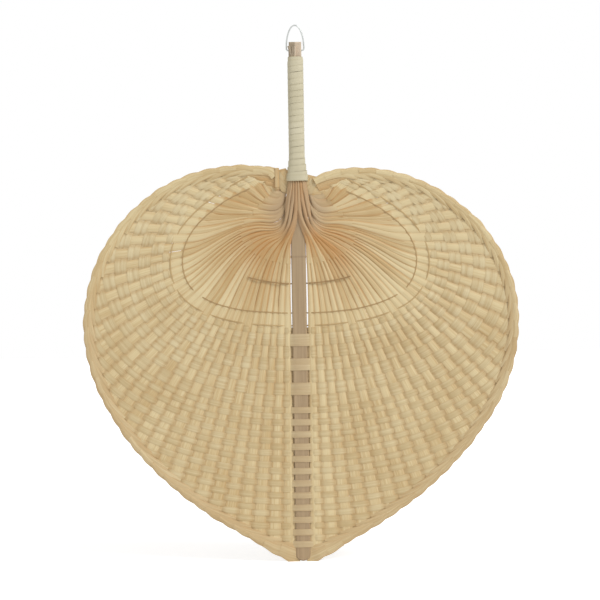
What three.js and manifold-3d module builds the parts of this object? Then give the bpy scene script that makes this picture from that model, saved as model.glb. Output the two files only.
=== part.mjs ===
// Bamboo wall fan: a heart-shaped plaited blade on a flat bamboo stick, with a cane-wrapped handle
// and a wire loop to hang it by.
// Millimetres. +Z is up, +X is right and the front faces -Y. The origin is the point where a nail
// bears on the inside of the loop, and the blade lies in the plane y = 0.
import * as THREE from 'three';
import { mergeVertices } from 'three/addons/utils/BufferGeometryUtils.js';
import Module from 'manifold-3d';

const wasm = await Module();
wasm.setup();
const { Manifold, Mesh: ManifoldMesh } = wasm;

// hanging loop
const WIRE = 1.2;
const LOOP_HALF_WIDTH = 7.3;
const LOOP_EYE = 13.3;
const LOOP_CORNER = 1.9;
const LOOP_END_GAP = 0.6;
const WIRE_SIDES = 8;
const LOOP_STEPS = 56;
const ROUND_HANDLE = 0.5523;

// centre stick: the handle and the midrib of the blade in one piece
const HANDLE_LENGTH = 115.6;
const HANDLE_WIDTH = 10.4;
const MIDRIB_WIDTH = 12.2;
const STICK_THICKNESS = 3.6;
const STICK_CHAMFER = 0.8;
const HOLE_BELOW_END = 7.1;
const HOLE_CLEARANCE = 0.4;
const HOLE_SIDES = 16;
const STICK_TAPER = 34;
const STICK_END_ROUND = 5;
const STICK_END_STEPS = 8;
const NODE_BELOW_NECK = 63;
const NODE_SWELL = 0.35;
const NODE_LENGTH = 3.2;

// handle wrap: one flat cane strip
const WRAP_BELOW_END = 12.5;
const WRAP_TURNS = 19;
const WRAP_STEPS = 16;
const WRAP_THICKNESS = 0.6;
const WRAP_TURN_GAP = 0.5;
const WRAP_ROUNDNESS = 3;

// blade outline, measured from the neck, where the wrap ends
const BLADE_LENGTH = 315.9;
const BLADE_HALF_WIDTH = 179.2;
const WIDEST_BELOW_NECK = 117.2;
const LOBE_RISE = 11.3;
const LOBE_OUT = 45.7;
const NOTCH_OUT = 9;
const NOTCH_RISE = 0.5;
const TIP_HALF_ANGLE = THREE.MathUtils.degToRad(19);
const TIP_REACH = 86;
const SIDE_REACH = 93;

// the eye, the open part that the first inner ring closes, and the spread, the small curve past which
// the splints no longer lie over each other; heights are below the neck
const EYE = { low: 109.7, halfWidth: 96.8, side: 66, topOut: 20, top: 4 };
const SPREAD = { low: 51, halfWidth: 28, side: 30, topOut: 8.5, top: 8.5 };
const OVAL_BELLY = 0.65;
const OVAL_FLANK = 0.73;
const OVAL_SHOULDER = 0.42;
const OVAL_BROW = 0.55;
const OVAL_BROW_DROP = 0.19;

// splints
const SPLINTS_PER_SIDE = 18;
const SPLINT_THICKNESS = 0.5;
const BUNDLE_COLUMNS = 3;
const BUNDLE_LAYERS = 3;
const LOWEST_LEAVE = 29;
const HIGHEST_LEAVE = 5;
const NECK_COVER = 0.66;
const EYE_COVER = 0.55;
const RIM_COVER = 0.47;
const SINK_FROM = 0.15;
const FLAT_FROM = 0.5;
const SPLIT_OUT = 13;
const SPLIT_SHARE = 0.4;
const APART_LENGTH = 4;
const SPREAD_CENTRE = 22;
const ARCH = THREE.MathUtils.degToRad(12);
const BEND_STEPS = 4;
const BEND_REACH = 1 / 2;
const TINE_REACH = 1 / 3;
const CURVE_SAMPLES = 800;
const TANGENT_STEP = 0.7;

// wefts
const WEFT_THICKNESS = 0.5;
const STRAND_WIDTH = 1.3;
const SHORT_STRAND_AT = 0.57;
const SHORT_STRAND_SPLINTS = 4;
const SECOND_RING_OUT = 9.3;
const ROWS = 17;
const FIRST_ROW_OUT = 22.4;
const LAST_ROW_FROM_TIP = 21.6;
const ROW_GAP = 1.6;
const SHORTEST_RUN_OUT = 0.36;
const LONGEST_RUN_OUT = 0.5;
const FULLEST_COVER = 0.75;
const BORDER_WIDTH = 7;

// clearances
const CLEARANCE = 0.3;
const WEAVE_CLEARANCE = 0.15;
const BESIDE_STICK = 0.6;

// finishes
const WIRE_FINISH = { color: '#b9bcb8', roughness: 0.35, metalness: 1 };
const STICK_FINISH = { color: '#ac9476', roughness: 0.55, metalness: 0 };
const CANE_FINISH = { color: '#c6bea3', roughness: 0.5, metalness: 0 };
const SPLINT_FINISH = { color: '#cdb482', roughness: 0.6, metalness: 0 };
const STRAND_FINISH = { color: '#a58a62', roughness: 0.65, metalness: 0 };
const ROW_FINISH = { color: '#cab38a', roughness: 0.6, metalness: 0 };

// derived places
const HANDLE_END_Z = -LOOP_EYE;
const HOLE_Z = HANDLE_END_Z - HOLE_BELOW_END;
const NECK_Z = HANDLE_END_Z - HANDLE_LENGTH;
const WRAP_TOP_Z = HANDLE_END_Z - WRAP_BELOW_END;
const MIDRIB_HALF = MIDRIB_WIDTH / 2;
const TINES_PER_SIDE = 2 * SPLINTS_PER_SIDE;
const LAYER_STEP = SPLINT_THICKNESS + CLEARANCE;
const LAYERS_START = STICK_THICKNESS / 2 + CLEARANCE;
const BUNDLE_HALF_DEPTH = LAYERS_START + BUNDLE_LAYERS * LAYER_STEP - CLEARANCE;
const WRAP_INSIDE_WIDTH = HANDLE_WIDTH / 2 + CLEARANCE;
const WRAP_INSIDE_DEPTH = BUNDLE_HALF_DEPTH + CLEARANCE;

const v2 = (x, z) => new THREE.Vector2(x, z);
const v3 = (x, y, z) => new THREE.Vector3(x, y, z);
const belowNeck = (x, drop) => v2(x, NECK_Z - drop);
const mix = THREE.MathUtils.lerp;

// A curve of joined pieces, each a cubic given by its two handles and its end.
function smoothPath(start, pieces) {
  const path = new THREE.CurvePath();
  let from = start;
  for (const [handleA, handleB, end] of pieces) {
    path.add(new THREE.CubicBezierCurve(from, handleA, handleB, end));
    from = end;
  }
  return path;
}

function alongPath(path, distance) {
  const share = THREE.MathUtils.clamp(distance / path.getLength(), 0, 1);
  return path.getPoint(share);
}

// The right half of the rim, from the tip up round the lobe to the notch beside the handle.
function rimPath() {
  const tip = belowNeck(0, BLADE_LENGTH);
  const widest = belowNeck(BLADE_HALF_WIDTH, WIDEST_BELOW_NECK);
  const tipHandle = v2(Math.cos(TIP_HALF_ANGLE), Math.sin(TIP_HALF_ANGLE)).multiplyScalar(TIP_REACH);
  const sideHandle = v2(0, -SIDE_REACH);
  const path = smoothPath(tip, [[tip.clone().add(tipHandle), widest.clone().add(sideHandle), widest]]);
  const shoulderWidth = BLADE_HALF_WIDTH - LOBE_OUT;
  const shoulderRise = WIDEST_BELOW_NECK + LOBE_RISE;
  path.add(new THREE.EllipseCurve(LOBE_OUT, widest.y, shoulderWidth, shoulderRise, 0, Math.PI / 2));
  const lobe = belowNeck(LOBE_OUT, -LOBE_RISE);
  const notch = belowNeck(NOTCH_OUT, -NOTCH_RISE);
  const halfWay = (LOBE_OUT - NOTCH_OUT) / 2;
  path.add(new THREE.QuadraticBezierCurve(lobe, v2(lobe.x - halfWay, lobe.y), notch));
  return path;
}

// The right half of an oval that is open at the neck, from below the stick up to its upper end.
function ovalPath({ low, halfWidth, side, topOut, top }) {
  const belly = belowNeck(halfWidth * OVAL_BELLY, low);
  const flank = belowNeck(halfWidth, mix(side, low, OVAL_FLANK));
  const shoulder = belowNeck(halfWidth, mix(side, top, OVAL_SHOULDER));
  const brow = belowNeck(mix(topOut, halfWidth, OVAL_BROW), mix(top, side, OVAL_BROW_DROP));
  return smoothPath(belowNeck(0, low), [
    [belly, flank, belowNeck(halfWidth, side)],
    [shoulder, brow, belowNeck(topOut, top)],
  ]);
}

const rim = rimPath();
const eye = ovalPath(EYE);
const spread = ovalPath(SPREAD);
const neckCentre = belowNeck(MIDRIB_HALF, SPREAD_CENTRE);

// Where a rising list of values passes one, as a place between the samples it was taken at.
function interpolate(samples, values, wanted) {
  const inside = THREE.MathUtils.clamp(wanted, values[0], values.at(-1));
  const after = Math.max(1, values.findIndex((value) => value >= inside));
  const share = (inside - values[after - 1]) / (values[after] - values[after - 1]);
  return samples[after - 1].clone().lerp(samples[after], share);
}

// Even places for the tines along a curve, clear of the stick. With a centre, the steps are even
// across the rays from it.
function placesOn(path, centre = null) {
  const samples = path.getSpacedPoints(CURVE_SAMPLES);
  const reached = [0];
  for (let i = 1; i < samples.length; i += 1) {
    const step = samples[i].clone().sub(samples[i - 1]);
    const ray = centre ? samples[i].clone().sub(centre).normalize() : null;
    reached.push(reached[i - 1] + (ray ? Math.abs(step.cross(ray)) : step.length()));
  }
  const start = MIDRIB_HALF + BESIDE_STICK;
  const pitch = (reached.at(-1) - start) / TINES_PER_SIDE;
  const distance = (tine) => start + (tine - 1 / 2) * pitch;
  return { pitch, distance, point: (tine) => interpolate(samples, reached, distance(tine)) };
}

const rayAngle = (point) => Math.atan2(point.x - neckCentre.x, neckCentre.y - point.y);
const rimPlaces = placesOn(rim);
const eyePlaces = placesOn(eye, neckCentre);
const spreadSamples = spread.getSpacedPoints(CURVE_SAMPLES);
const spreadAngles = spreadSamples.map(rayAngle);

// The place of a tine on the spread curve: on the ray from the neck to its place on the eye.
function onSpread(tine) {
  return interpolate(spreadSamples, spreadAngles, rayAngle(eyePlaces.point(tine)));
}

// The room across a tine that passes a row of places in a direction.
function roomAcross(places, tine, direction) {
  const middle = Math.min(tine, TINES_PER_SIDE);
  const step = places(middle + 1 / 2).sub(places(middle - 1 / 2));
  return Math.abs(direction.cross(step));
}

// A point at a distance along the rim, moved inwards from it.
function insideRim(distance, inset) {
  const before = alongPath(rim, distance - TANGENT_STEP);
  const after = alongPath(rim, distance + TANGENT_STEP);
  const tangent = after.sub(before).normalize();
  return alongPath(rim, distance).addScaledVector(v2(-tangent.y, tangent.x), inset);
}

// One tine: half of a splint, from the spread curve through the eye to the border.
function makeTine(number) {
  const from = onSpread(number);
  const atEye = eyePlaces.point(number);
  const atBorder = insideRim(rimPlaces.distance(number), BORDER_WIDTH);
  const outward = atBorder.clone().sub(atEye).normalize();
  const leaving = from.clone().sub(neckCentre).normalize().rotateAround(v2(0, 0), ARCH);
  const reach = TINE_REACH * from.distanceTo(atEye);
  const handleA = from.clone().addScaledVector(leaving, reach);
  const handleB = atEye.clone().addScaledVector(outward, -reach);
  return {
    number,
    outward,
    inner: new THREE.CubicBezierCurve(from, handleA, handleB, atEye),
    length: atEye.distanceTo(atBorder),
    spreadWidth: NECK_COVER * roomAcross(onSpread, number, leaving),
    eyeWidth: EYE_COVER * roomAcross(eyePlaces.point, number, outward),
    borderWidth: RIM_COVER * roomAcross(rimPlaces.point, number, outward),
    pointPastEye: (distance) => atEye.clone().addScaledVector(outward, distance),
  };
}

const tines = [];
for (let number = 1; number <= TINES_PER_SIDE + 1; number += 1) {
  tines[number] = makeTine(number);
}
const stickLength = eye.getPoint(0).distanceTo(rim.getPoint(0));

function innerWidth(tine, share) {
  return mix(tine.spreadWidth, tine.eyeWidth, share);
}

function widthPastEye(tine, distance) {
  const share = THREE.MathUtils.clamp(distance / tine.length, 0, 1);
  return mix(tine.eyeWidth, tine.borderWidth, share);
}

// The point beside a tine's centre line, on the side of the higher tine (+1) or the lower one (-1).
function besideInner(tine, share, towards, width) {
  const tangent = tine.inner.getTangent(share);
  const across = v2(-tangent.y, tangent.x).multiplyScalar(towards * width / 2);
  return tine.inner.getPoint(share).add(across);
}

function besideOuter(tine, distance, towards, margin = 0) {
  const across = v2(-tine.outward.y, tine.outward.x);
  const halfWidth = widthPastEye(tine, distance) / 2 + margin;
  return tine.pointPastEye(distance).addScaledVector(across, towards * halfWidth);
}

// The lower and the upper tine of a splint.
function tinesOf(splint) {
  return [tines[2 * splint - 1], tines[2 * splint]];
}

// How far past the eye a splint splits into its two tines.
function splitDistance(splint) {
  const shorter = Math.min(...tinesOf(splint).map((tine) => tine.length));
  return Math.min(SPLIT_OUT, SPLIT_SHARE * shorter);
}

// A bent plate of even thickness on the cells of its middle surface. Each cell gives the places of
// its corners in the list of points, all in the same turn; open edges get a wall.
function plate(points, cells, thickness) {
  const count = points.length;
  const edgesOf = (cell) => cell.map((from, i) => [from, cell[(i + 1) % cell.length]]);
  const shared = new Set();
  for (const cell of cells) {
    edgesOf(cell).forEach(([from, to]) => shared.add(`${to} ${from}`));
  }
  const index = [];
  for (const cell of cells) {
    for (let i = 1; i + 1 < cell.length; i += 1) {
      const [a, b, c] = [cell[0], cell[i], cell[i + 1]];
      index.push(a, b, c, count + a, count + c, count + b);
    }
    for (const [from, to] of edgesOf(cell)) {
      if (!shared.has(`${from} ${to}`)) {
        index.push(from, count + to, to, from, count + from, count + to);
      }
    }
  }
  const front = points.map((point) => v3(point.x, point.y - thickness / 2, point.z));
  const back = points.map((point) => v3(point.x, point.y + thickness / 2, point.z));
  return facingOut([...front, ...back], index);
}

function signedVolume(positions, index) {
  let volume = 0;
  for (let i = 0; i < index.length; i += 3) {
    const [a, b, c] = [0, 1, 2].map((k) => positions[index[i + k]]);
    volume += a.dot(b.clone().cross(c));
  }
  return volume;
}

function facingOut(points, index) {
  if (signedVolume(points, index) < 0) index.reverse();
  const geometry = new THREE.BufferGeometry().setFromPoints(points);
  geometry.setIndex(index);
  return geometry;
}

// A solid skinned over a row of cross-sections with equal numbers of corners.
function skin(sections) {
  const corners = sections[0].length;
  const points = sections.flat();
  const index = [];
  for (let s = 0; s + 1 < sections.length; s += 1) {
    for (let c = 0; c < corners; c += 1) {
      const a = s * corners + c;
      const b = s * corners + (c + 1) % corners;
      index.push(a, b, b + corners, a, b + corners, a + corners);
    }
  }
  const last = (sections.length - 1) * corners;
  for (let c = 1; c + 1 < corners; c += 1) {
    index.push(0, c + 1, c, last, last + c, last + c + 1);
  }
  return facingOut(points, index);
}

// The bundle under the wrap holds three splints of a side in each layer: the lowest one nearest to
// the middle. Layers go in front and behind by turns, so that neighbours come from opposite faces.
function placeInBundle(splint) {
  const order = splint - 1;
  const perColumn = 2 * BUNDLE_LAYERS;
  const slot = order % perColumn;
  const column = Math.floor(order / perColumn);
  const layer = Math.floor(slot / 2);
  const face = slot % 2 === 0 ? -1 : 1;
  const outerFace = LAYERS_START + layer * LAYER_STEP + SPLINT_THICKNESS;
  const fullness = 1 - (outerFace / WRAP_INSIDE_DEPTH) ** WRAP_ROUNDNESS;
  const halfWidth = WRAP_INSIDE_WIDTH * fullness ** (1 / WRAP_ROUNDNESS) - CLEARANCE;
  const columnStep = halfWidth / BUNDLE_COLUMNS;
  return {
    x: (column + 1 / 2) * columnStep,
    y: face * (outerFace - SPLINT_THICKNESS / 2),
    width: columnStep - CLEARANCE,
  };
}

// How much of its bundle height a splint still has at a share of the way from the spread to the eye.
function heightLeft(share) {
  return 1 - THREE.MathUtils.smoothstep(share, SINK_FROM, FLAT_FROM);
}

const bendShares = Array.from({ length: BEND_STEPS }, (_, step) => step / BEND_STEPS);
const innerShares = [0, SINK_FROM, (SINK_FROM + FLAT_FROM) / 2, FLAT_FROM, (FLAT_FROM + 1) / 2, 1];

const flatAt = (point, y = 0) => ({ x: point.x, y, z: point.y });

// The border end of a tine: bent over at the rim and laid along it on the next lower tine. Each rung
// has its lower and upper point; the tail's rungs have their inner and outer point.
function borderEnd(tine) {
  const middle = rimPlaces.distance(tine.number);
  const halfWidth = RIM_COVER * rimPlaces.pitch / 2;
  const leading = middle - halfWidth;
  const trailing = middle + halfWidth;
  const rung = (distance, y) => [
    flatAt(insideRim(distance, BORDER_WIDTH), y),
    flatAt(insideRim(distance, 0), y),
  ];
  const [leadingIn, leadingOut] = rung(leading, 0);
  const [trailingIn, trailingOut] = rung(trailing, 0);
  const tail = [[leadingIn, leadingOut]];
  if (tine.number > 1) {
    tail.push(rung(trailing - rimPlaces.pitch + CLEARANCE, -LAYER_STEP));
    tail.push(rung(leading - rimPlaces.pitch, -LAYER_STEP));
  } else {
    const x = MIDRIB_HALF + BESIDE_STICK;
    const outer = belowNeck(x, BLADE_LENGTH - x * Math.tan(TIP_HALF_ANGLE));
    const inner = v2(x, outer.y + BORDER_WIDTH / Math.cos(TIP_HALF_ANGLE));
    tail.push([flatAt(inner), flatAt(outer)]);
  }
  return { across: [[leadingIn, trailingIn], [leadingOut, trailingOut]], tail };
}

// One splint: butt under the wrap, bend at the neck, then two tines to the border.
function splintGeometry(splint, side) {
  const root = placeInBundle(splint);
  const [lower, upper] = tinesOf(splint);
  const leaveDrop = mix(LOWEST_LEAVE, HIGHEST_LEAVE, (splint - 1) / (SPLINTS_PER_SIDE - 1));
  const leave = belowNeck(root.x, leaveDrop);

  const lowEdge = (share) => besideInner(lower, share, -1, innerWidth(lower, share));
  const highEdge = (share) => besideInner(upper, share, 1, innerWidth(upper, share));
  const arrive = lowEdge(0).lerp(highEdge(0), 1 / 2);
  const arriveWidth = lowEdge(0).distanceTo(highEdge(0));
  const heading = arrive.clone().sub(neckCentre).normalize();
  const reach = BEND_REACH * arrive.distanceTo(leave);
  const bend = new THREE.CubicBezierCurve(
    leave,
    v2(leave.x, leave.y - reach),
    arrive.clone().addScaledVector(heading, -reach),
    arrive,
  );
  const bendRung = (share) => [-1, 1].map((towards) => {
    const tangent = bend.getTangent(share);
    const halfWidth = mix(root.width, arriveWidth, share) / 2;
    const across = v2(-tangent.y, tangent.x).multiplyScalar(towards * halfWidth);
    return flatAt(bend.getPoint(share).add(across), root.y);
  });

  const points = [];
  const cells = [];
  const place = (point) => {
    if (!points.includes(point)) points.push(point);
    return points.indexOf(point);
  };
  const ladder = (rungs) => {
    for (let i = 0; i + 1 < rungs.length; i += 1) {
      cells.push([rungs[i][0], rungs[i + 1][0], rungs[i + 1][1], rungs[i][1]].map(place));
    }
  };
  const top = WRAP_TOP_Z - CLEARANCE;
  const butt = [-1, 1].map((towards) => ({ x: root.x + towards * root.width / 2, y: root.y, z: top }));
  const inner = innerShares.map((share) => {
    const y = root.y * heightLeft(share);
    return [flatAt(lowEdge(share), y), flatAt(highEdge(share), y)];
  });
  ladder([butt, ...bendShares.map(bendRung), ...inner]);

  const split = splitDistance(splint);
  const [wholeLow, wholeHigh] = inner.at(-1);
  const splitLow = flatAt(besideOuter(lower, split, -1));
  const splitHigh = flatAt(besideOuter(upper, split, 1));
  const crotch = flatAt(lower.pointPastEye(split).lerp(upper.pointPastEye(split), 1 / 2));
  cells.push([wholeLow, splitLow, crotch, splitHigh, wholeHigh].map(place));
  for (const [tine, start] of [[lower, [splitLow, crotch]], [upper, [crotch, splitHigh]]]) {
    const apart = Math.min(split + APART_LENGTH, (split + tine.length) / 2);
    const rung = [-1, 1].map((towards) => flatAt(besideOuter(tine, apart, towards)));
    const end = borderEnd(tine);
    ladder([start, rung, ...end.across]);
    ladder(end.tail);
  }
  return plate(points.map((point) => ({ ...point, x: point.x * side })), cells, SPLINT_THICKNESS);
}

// A weft: a flat strip through stations on the right side, mirrored to the left across the stick.
function weft(rightStations, width) {
  const section = (station, side) => {
    const across = v2(station.across.x * side, station.across.y).multiplyScalar(width / 2);
    const corner = (a, b) => v3(
      station.x * side + a * across.x,
      station.y + b * WEFT_THICKNESS / 2,
      station.z + a * across.y,
    );
    return [corner(-1, -1), corner(1, -1), corner(1, 1), corner(-1, 1)];
  };
  const left = [...rightStations].reverse().map((station) => section(station, -1));
  return skin([...left, ...rightStations.map((station) => section(station, 1))]);
}

// Over the stick the strip stays level from edge to edge.
function stickStation(z, sign) {
  const y = sign * (STICK_THICKNESS / 2 + CLEARANCE + WEFT_THICKNESS / 2);
  return { x: MIDRIB_HALF + CLEARANCE, y, z, across: v2(0, -1) };
}

// The height at a tine that keeps a strip clear of the tine's edges on its way to the next face.
function weaveHeight(width, pitch) {
  const touching = (SPLINT_THICKNESS + WEFT_THICKNESS) / 2 + WEAVE_CLEARANCE;
  return touching / (1 - Math.min(width / pitch, FULLEST_COVER));
}

// The farthest a strip may run past its last tine, as a share of the way to the next one, so that
// it stops short of the border.
function runOut(tine, distance, width) {
  const limit = distance + width / 2 + CLEARANCE;
  const next = tines[tine.number + 1];
  return (tine.length - limit) / Math.max(tine.length - next.length, CLEARANCE);
}

// A row at an even distance past the eye, over and under the tines by turns and out to the border.
function rowStations(distance, width, startSign) {
  const stations = [stickStation(eye.getPoint(0).y - distance, startSign)];
  let sign = startSign;
  let last = null;
  for (let number = 1; number <= TINES_PER_SIDE; number += 1) {
    const tine = tines[number];
    const tooShort = tine.length - distance < BORDER_WIDTH;
    if (tooShort || runOut(tine, distance, width) < SHORTEST_RUN_OUT) break;
    const here = tine.pointPastEye(distance);
    const toNext = tines[number + 1].pointPastEye(distance).sub(here);
    const pitch = toNext.length();
    const slant = Math.abs(toNext.normalize().cross(tine.outward));
    const y = sign * weaveHeight(widthPastEye(tine, distance) / slant, pitch);
    last = { x: here.x, y, z: here.y, across: tine.outward, tine };
    stations.push(last);
    sign = -sign;
  }
  const beyond = last ? tines[last.tine.number + 1].pointPastEye(distance) : null;
  if (beyond) {
    const share = Math.min(runOut(last.tine, distance, width), LONGEST_RUN_OUT);
    stations.push({ ...last, x: mix(last.x, beyond.x, share), z: mix(last.z, beyond.y, share) });
  } else {
    const [edge] = stations;
    stations.push({ ...edge, x: edge.x + BESIDE_STICK });
  }
  return stations;
}

// A thin strand, level over each whole splint and dipping in the gaps. An edge gives the place and
// the splint's direction beside one of its tines.
function strandStations(z, startSign, splints, edge) {
  const flatHeight = (SPLINT_THICKNESS + WEFT_THICKNESS) / 2 + WEAVE_CLEARANCE;
  const stations = [stickStation(z, startSign)];
  let sign = startSign;
  for (let splint = 1; splint <= splints; splint += 1) {
    const [lower, upper] = tinesOf(splint);
    for (const [tine, towards] of [[lower, -1], [upper, 1]]) {
      const { point, across } = edge(tine, towards);
      stations.push({ x: point.x, y: sign * flatHeight, z: point.y, across });
    }
    sign = -sign;
  }
  return stations;
}

// The short strand low in the eye.
function shortStrandStations() {
  const share = SHORT_STRAND_AT;
  const z = tines[1].inner.getPoint(share).y;
  return strandStations(z, 1, SHORT_STRAND_SPLINTS, (tine, towards) => ({
    point: besideInner(tine, share, towards, innerWidth(tine, share) + 2 * WEAVE_CLEARANCE),
    across: tine.inner.getTangent(share),
  }));
}

// An inner ring at a distance past the eye, round to the last splint that is still whole there.
function ringStations(distance, startSign) {
  let splints = 0;
  while (splints < SPLINTS_PER_SIDE && splitDistance(splints + 1) > distance + STRAND_WIDTH) {
    splints += 1;
  }
  return strandStations(eye.getPoint(0).y - distance, startSign, splints, (tine, towards) => ({
    point: besideOuter(tine, distance, towards, WEAVE_CLEARANCE),
    across: tine.outward,
  }));
}

// The stick: a flat bar with a swollen node below the neck, a round end at the tip of the blade and a
// hole through the handle's end for the wire.
function stickGeometry() {
  const roundCentre = NECK_Z - BLADE_LENGTH + CLEARANCE + STICK_END_ROUND;
  const node = NECK_Z - NODE_BELOW_NECK;
  const handleHalf = HANDLE_WIDTH / 2;
  const rightEdge = [
    v2(handleHalf, HANDLE_END_Z),
    v2(handleHalf, NECK_Z),
    v2(MIDRIB_HALF, NECK_Z - STICK_TAPER),
    v2(MIDRIB_HALF, node + NODE_LENGTH / 2),
    v2(MIDRIB_HALF + NODE_SWELL, node),
    v2(MIDRIB_HALF, node - NODE_LENGTH / 2),
  ];
  const leftEdge = rightEdge.map((point) => v2(-point.x, point.y)).reverse();
  const shape = new THREE.Shape(rightEdge);
  shape.absellipse(0, roundCentre, MIDRIB_HALF, STICK_END_ROUND, 0, Math.PI, true);
  leftEdge.forEach((point) => shape.lineTo(point.x, point.y));
  const geometry = new THREE.ExtrudeGeometry(shape, {
    depth: STICK_THICKNESS - 2 * STICK_CHAMFER,
    curveSegments: STICK_END_STEPS / 2,
    bevelEnabled: true,
    bevelSegments: 1,
    bevelSize: STICK_CHAMFER,
    bevelOffset: -STICK_CHAMFER,
    bevelThickness: STICK_CHAMFER,
  });
  geometry.translate(0, 0, STICK_CHAMFER - STICK_THICKNESS / 2);
  geometry.rotateX(Math.PI / 2);
  const radius = WIRE / 2 + HOLE_CLEARANCE;
  const hole = new THREE.CylinderGeometry(radius, radius, HANDLE_WIDTH + 2 * CLEARANCE, HOLE_SIDES);
  hole.rotateZ(Math.PI / 2);
  hole.translate(0, 0, HOLE_Z);
  return cut(geometry, hole);
}

// A geometry with its shared corners merged, as a solid for a cut.
function solidOf(geometry) {
  geometry.deleteAttribute('normal');
  geometry.deleteAttribute('uv');
  const merged = mergeVertices(geometry);
  return new Manifold(new ManifoldMesh({
    numProp: 3,
    vertProperties: merged.getAttribute('position').array,
    triVerts: new Uint32Array(merged.index.array),
  }));
}

function cut(geometry, tool) {
  const result = solidOf(geometry).subtract(solidOf(tool)).getMesh();
  const after = new THREE.BufferGeometry();
  after.setAttribute('position', new THREE.Float32BufferAttribute(result.vertProperties, 3));
  after.setIndex([...result.triVerts]);
  return after;
}

// The wrap: a flat strip wound round the bundle in one helix on a rounded-square section.
function wrapGeometry() {
  const length = WRAP_TOP_Z - NECK_Z;
  const pitch = length / (WRAP_TURNS + 1);
  const width = pitch - WRAP_TURN_GAP;
  const topCentre = WRAP_TOP_Z - width / 2;
  const bottomCentre = NECK_Z + width / 2;
  const steps = WRAP_TURNS * WRAP_STEPS;
  const facetRoom = 1 / Math.cos(Math.PI / WRAP_STEPS);
  const rounded = (value) => Math.sign(value) * Math.abs(value) ** (2 / WRAP_ROUNDNESS);
  const sections = [];
  for (let step = 0; step <= steps; step += 1) {
    const angle = Math.PI * 2 * step / WRAP_STEPS;
    const z = mix(topCentre, bottomCentre, step / steps);
    const across = rounded(Math.sin(angle)) * facetRoom;
    const back = rounded(Math.cos(angle)) * facetRoom;
    const inside = v2(WRAP_INSIDE_WIDTH * across, WRAP_INSIDE_DEPTH * back);
    const outside = v2(
      (WRAP_INSIDE_WIDTH + WRAP_THICKNESS) * across,
      (WRAP_INSIDE_DEPTH + WRAP_THICKNESS) * back,
    );
    sections.push([
      v3(inside.x, inside.y, z - width / 2),
      v3(outside.x, outside.y, z - width / 2),
      v3(outside.x, outside.y, z + width / 2),
      v3(inside.x, inside.y, z + width / 2),
    ]);
  }
  console.log(`handle_wrap: least gap between turns ${leastGap(sections).toFixed(3)} mm`);
  return skin(sections);
}

// The least distance between corner points of the strip that lie more than half a turn apart.
function leastGap(sections) {
  let least = Infinity;
  for (let a = 0; a < sections.length; a += 1) {
    for (let b = a + WRAP_STEPS / 2; b < sections.length; b += 1) {
      for (const p of sections[a]) {
        for (const q of sections[b]) {
          least = Math.min(least, p.distanceTo(q));
        }
      }
    }
  }
  return least;
}

// The wire loop: straight through the handle's hole, up both sides and over in an arch. Its two
// ends meet inside the hole.
function loopGeometry() {
  const top = WIRE / 2;
  const straight = LOOP_HALF_WIDTH - LOOP_CORNER;
  const spring = HOLE_Z + LOOP_CORNER;
  const side = (sign) => ({
    run: new THREE.LineCurve3(v3(sign * LOOP_END_GAP / 2, 0, HOLE_Z), v3(sign * straight, 0, HOLE_Z)),
    corner: new THREE.QuadraticBezierCurve3(
      v3(sign * straight, 0, HOLE_Z),
      v3(sign * LOOP_HALF_WIDTH, 0, HOLE_Z),
      v3(sign * LOOP_HALF_WIDTH, 0, spring),
    ),
    arch: new THREE.CubicBezierCurve3(
      v3(sign * LOOP_HALF_WIDTH, 0, spring),
      v3(sign * LOOP_HALF_WIDTH, 0, mix(spring, top, ROUND_HANDLE)),
      v3(sign * LOOP_HALF_WIDTH * ROUND_HANDLE, 0, top),
      v3(0, 0, top),
    ),
  });
  const right = side(1);
  const left = side(-1);
  const path = new THREE.CurvePath();
  [right.run, right.corner, right.arch].forEach((piece) => path.add(piece));
  path.add(new THREE.CubicBezierCurve3(left.arch.v3, left.arch.v2, left.arch.v1, left.arch.v0));
  path.add(new THREE.QuadraticBezierCurve3(left.corner.v2, left.corner.v1, left.corner.v0));
  path.add(new THREE.LineCurve3(left.run.v2, left.run.v1));
  const ring = [];
  for (let corner = 0; corner < WIRE_SIDES; corner += 1) {
    const angle = Math.PI * 2 * corner / WIRE_SIDES;
    ring.push(v2(Math.cos(angle), Math.sin(angle)).multiplyScalar(WIRE / 2));
  }
  return new THREE.ExtrudeGeometry(new THREE.Shape(ring), {
    steps: LOOP_STEPS,
    bevelEnabled: false,
    extrudePath: path,
  });
}

const fan = new THREE.Group();
fan.name = 'bamboo_wall_fan';

function add(name, geometry, finish) {
  const mesh = new THREE.Mesh(geometry, new THREE.MeshStandardMaterial(finish));
  mesh.name = name;
  fan.add(mesh);
}

const two = (number) => String(number).padStart(2, '0');

add('hanging_loop', loopGeometry(), WIRE_FINISH);
add('centre_stick', stickGeometry(), STICK_FINISH);
add('handle_wrap', wrapGeometry(), CANE_FINISH);

for (const [sideName, side] of [['left', -1], ['right', 1]]) {
  for (let splint = 1; splint <= SPLINTS_PER_SIDE; splint += 1) {
    add(`splint_${sideName}_${two(splint)}`, splintGeometry(splint, side), SPLINT_FINISH);
  }
}

add('inner_strand_short', weft(shortStrandStations(), STRAND_WIDTH), STRAND_FINISH);
add('inner_ring_first', weft(ringStations(0, -1), STRAND_WIDTH), STRAND_FINISH);
add('inner_ring_second', weft(ringStations(SECOND_RING_OUT, 1), STRAND_WIDTH), STRAND_FINISH);

const rowPitch = (stickLength - FIRST_ROW_OUT - LAST_ROW_FROM_TIP) / (ROWS - 1);
const rowWidth = rowPitch - ROW_GAP;
for (let row = 0; row < ROWS; row += 1) {
  const stations = rowStations(FIRST_ROW_OUT + row * rowPitch, rowWidth, row % 2 === 0 ? -1 : 1);
  add(`weft_row_${two(row + 1)}`, weft(stations, rowWidth), ROW_FINISH);
}

export default fan;
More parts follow.
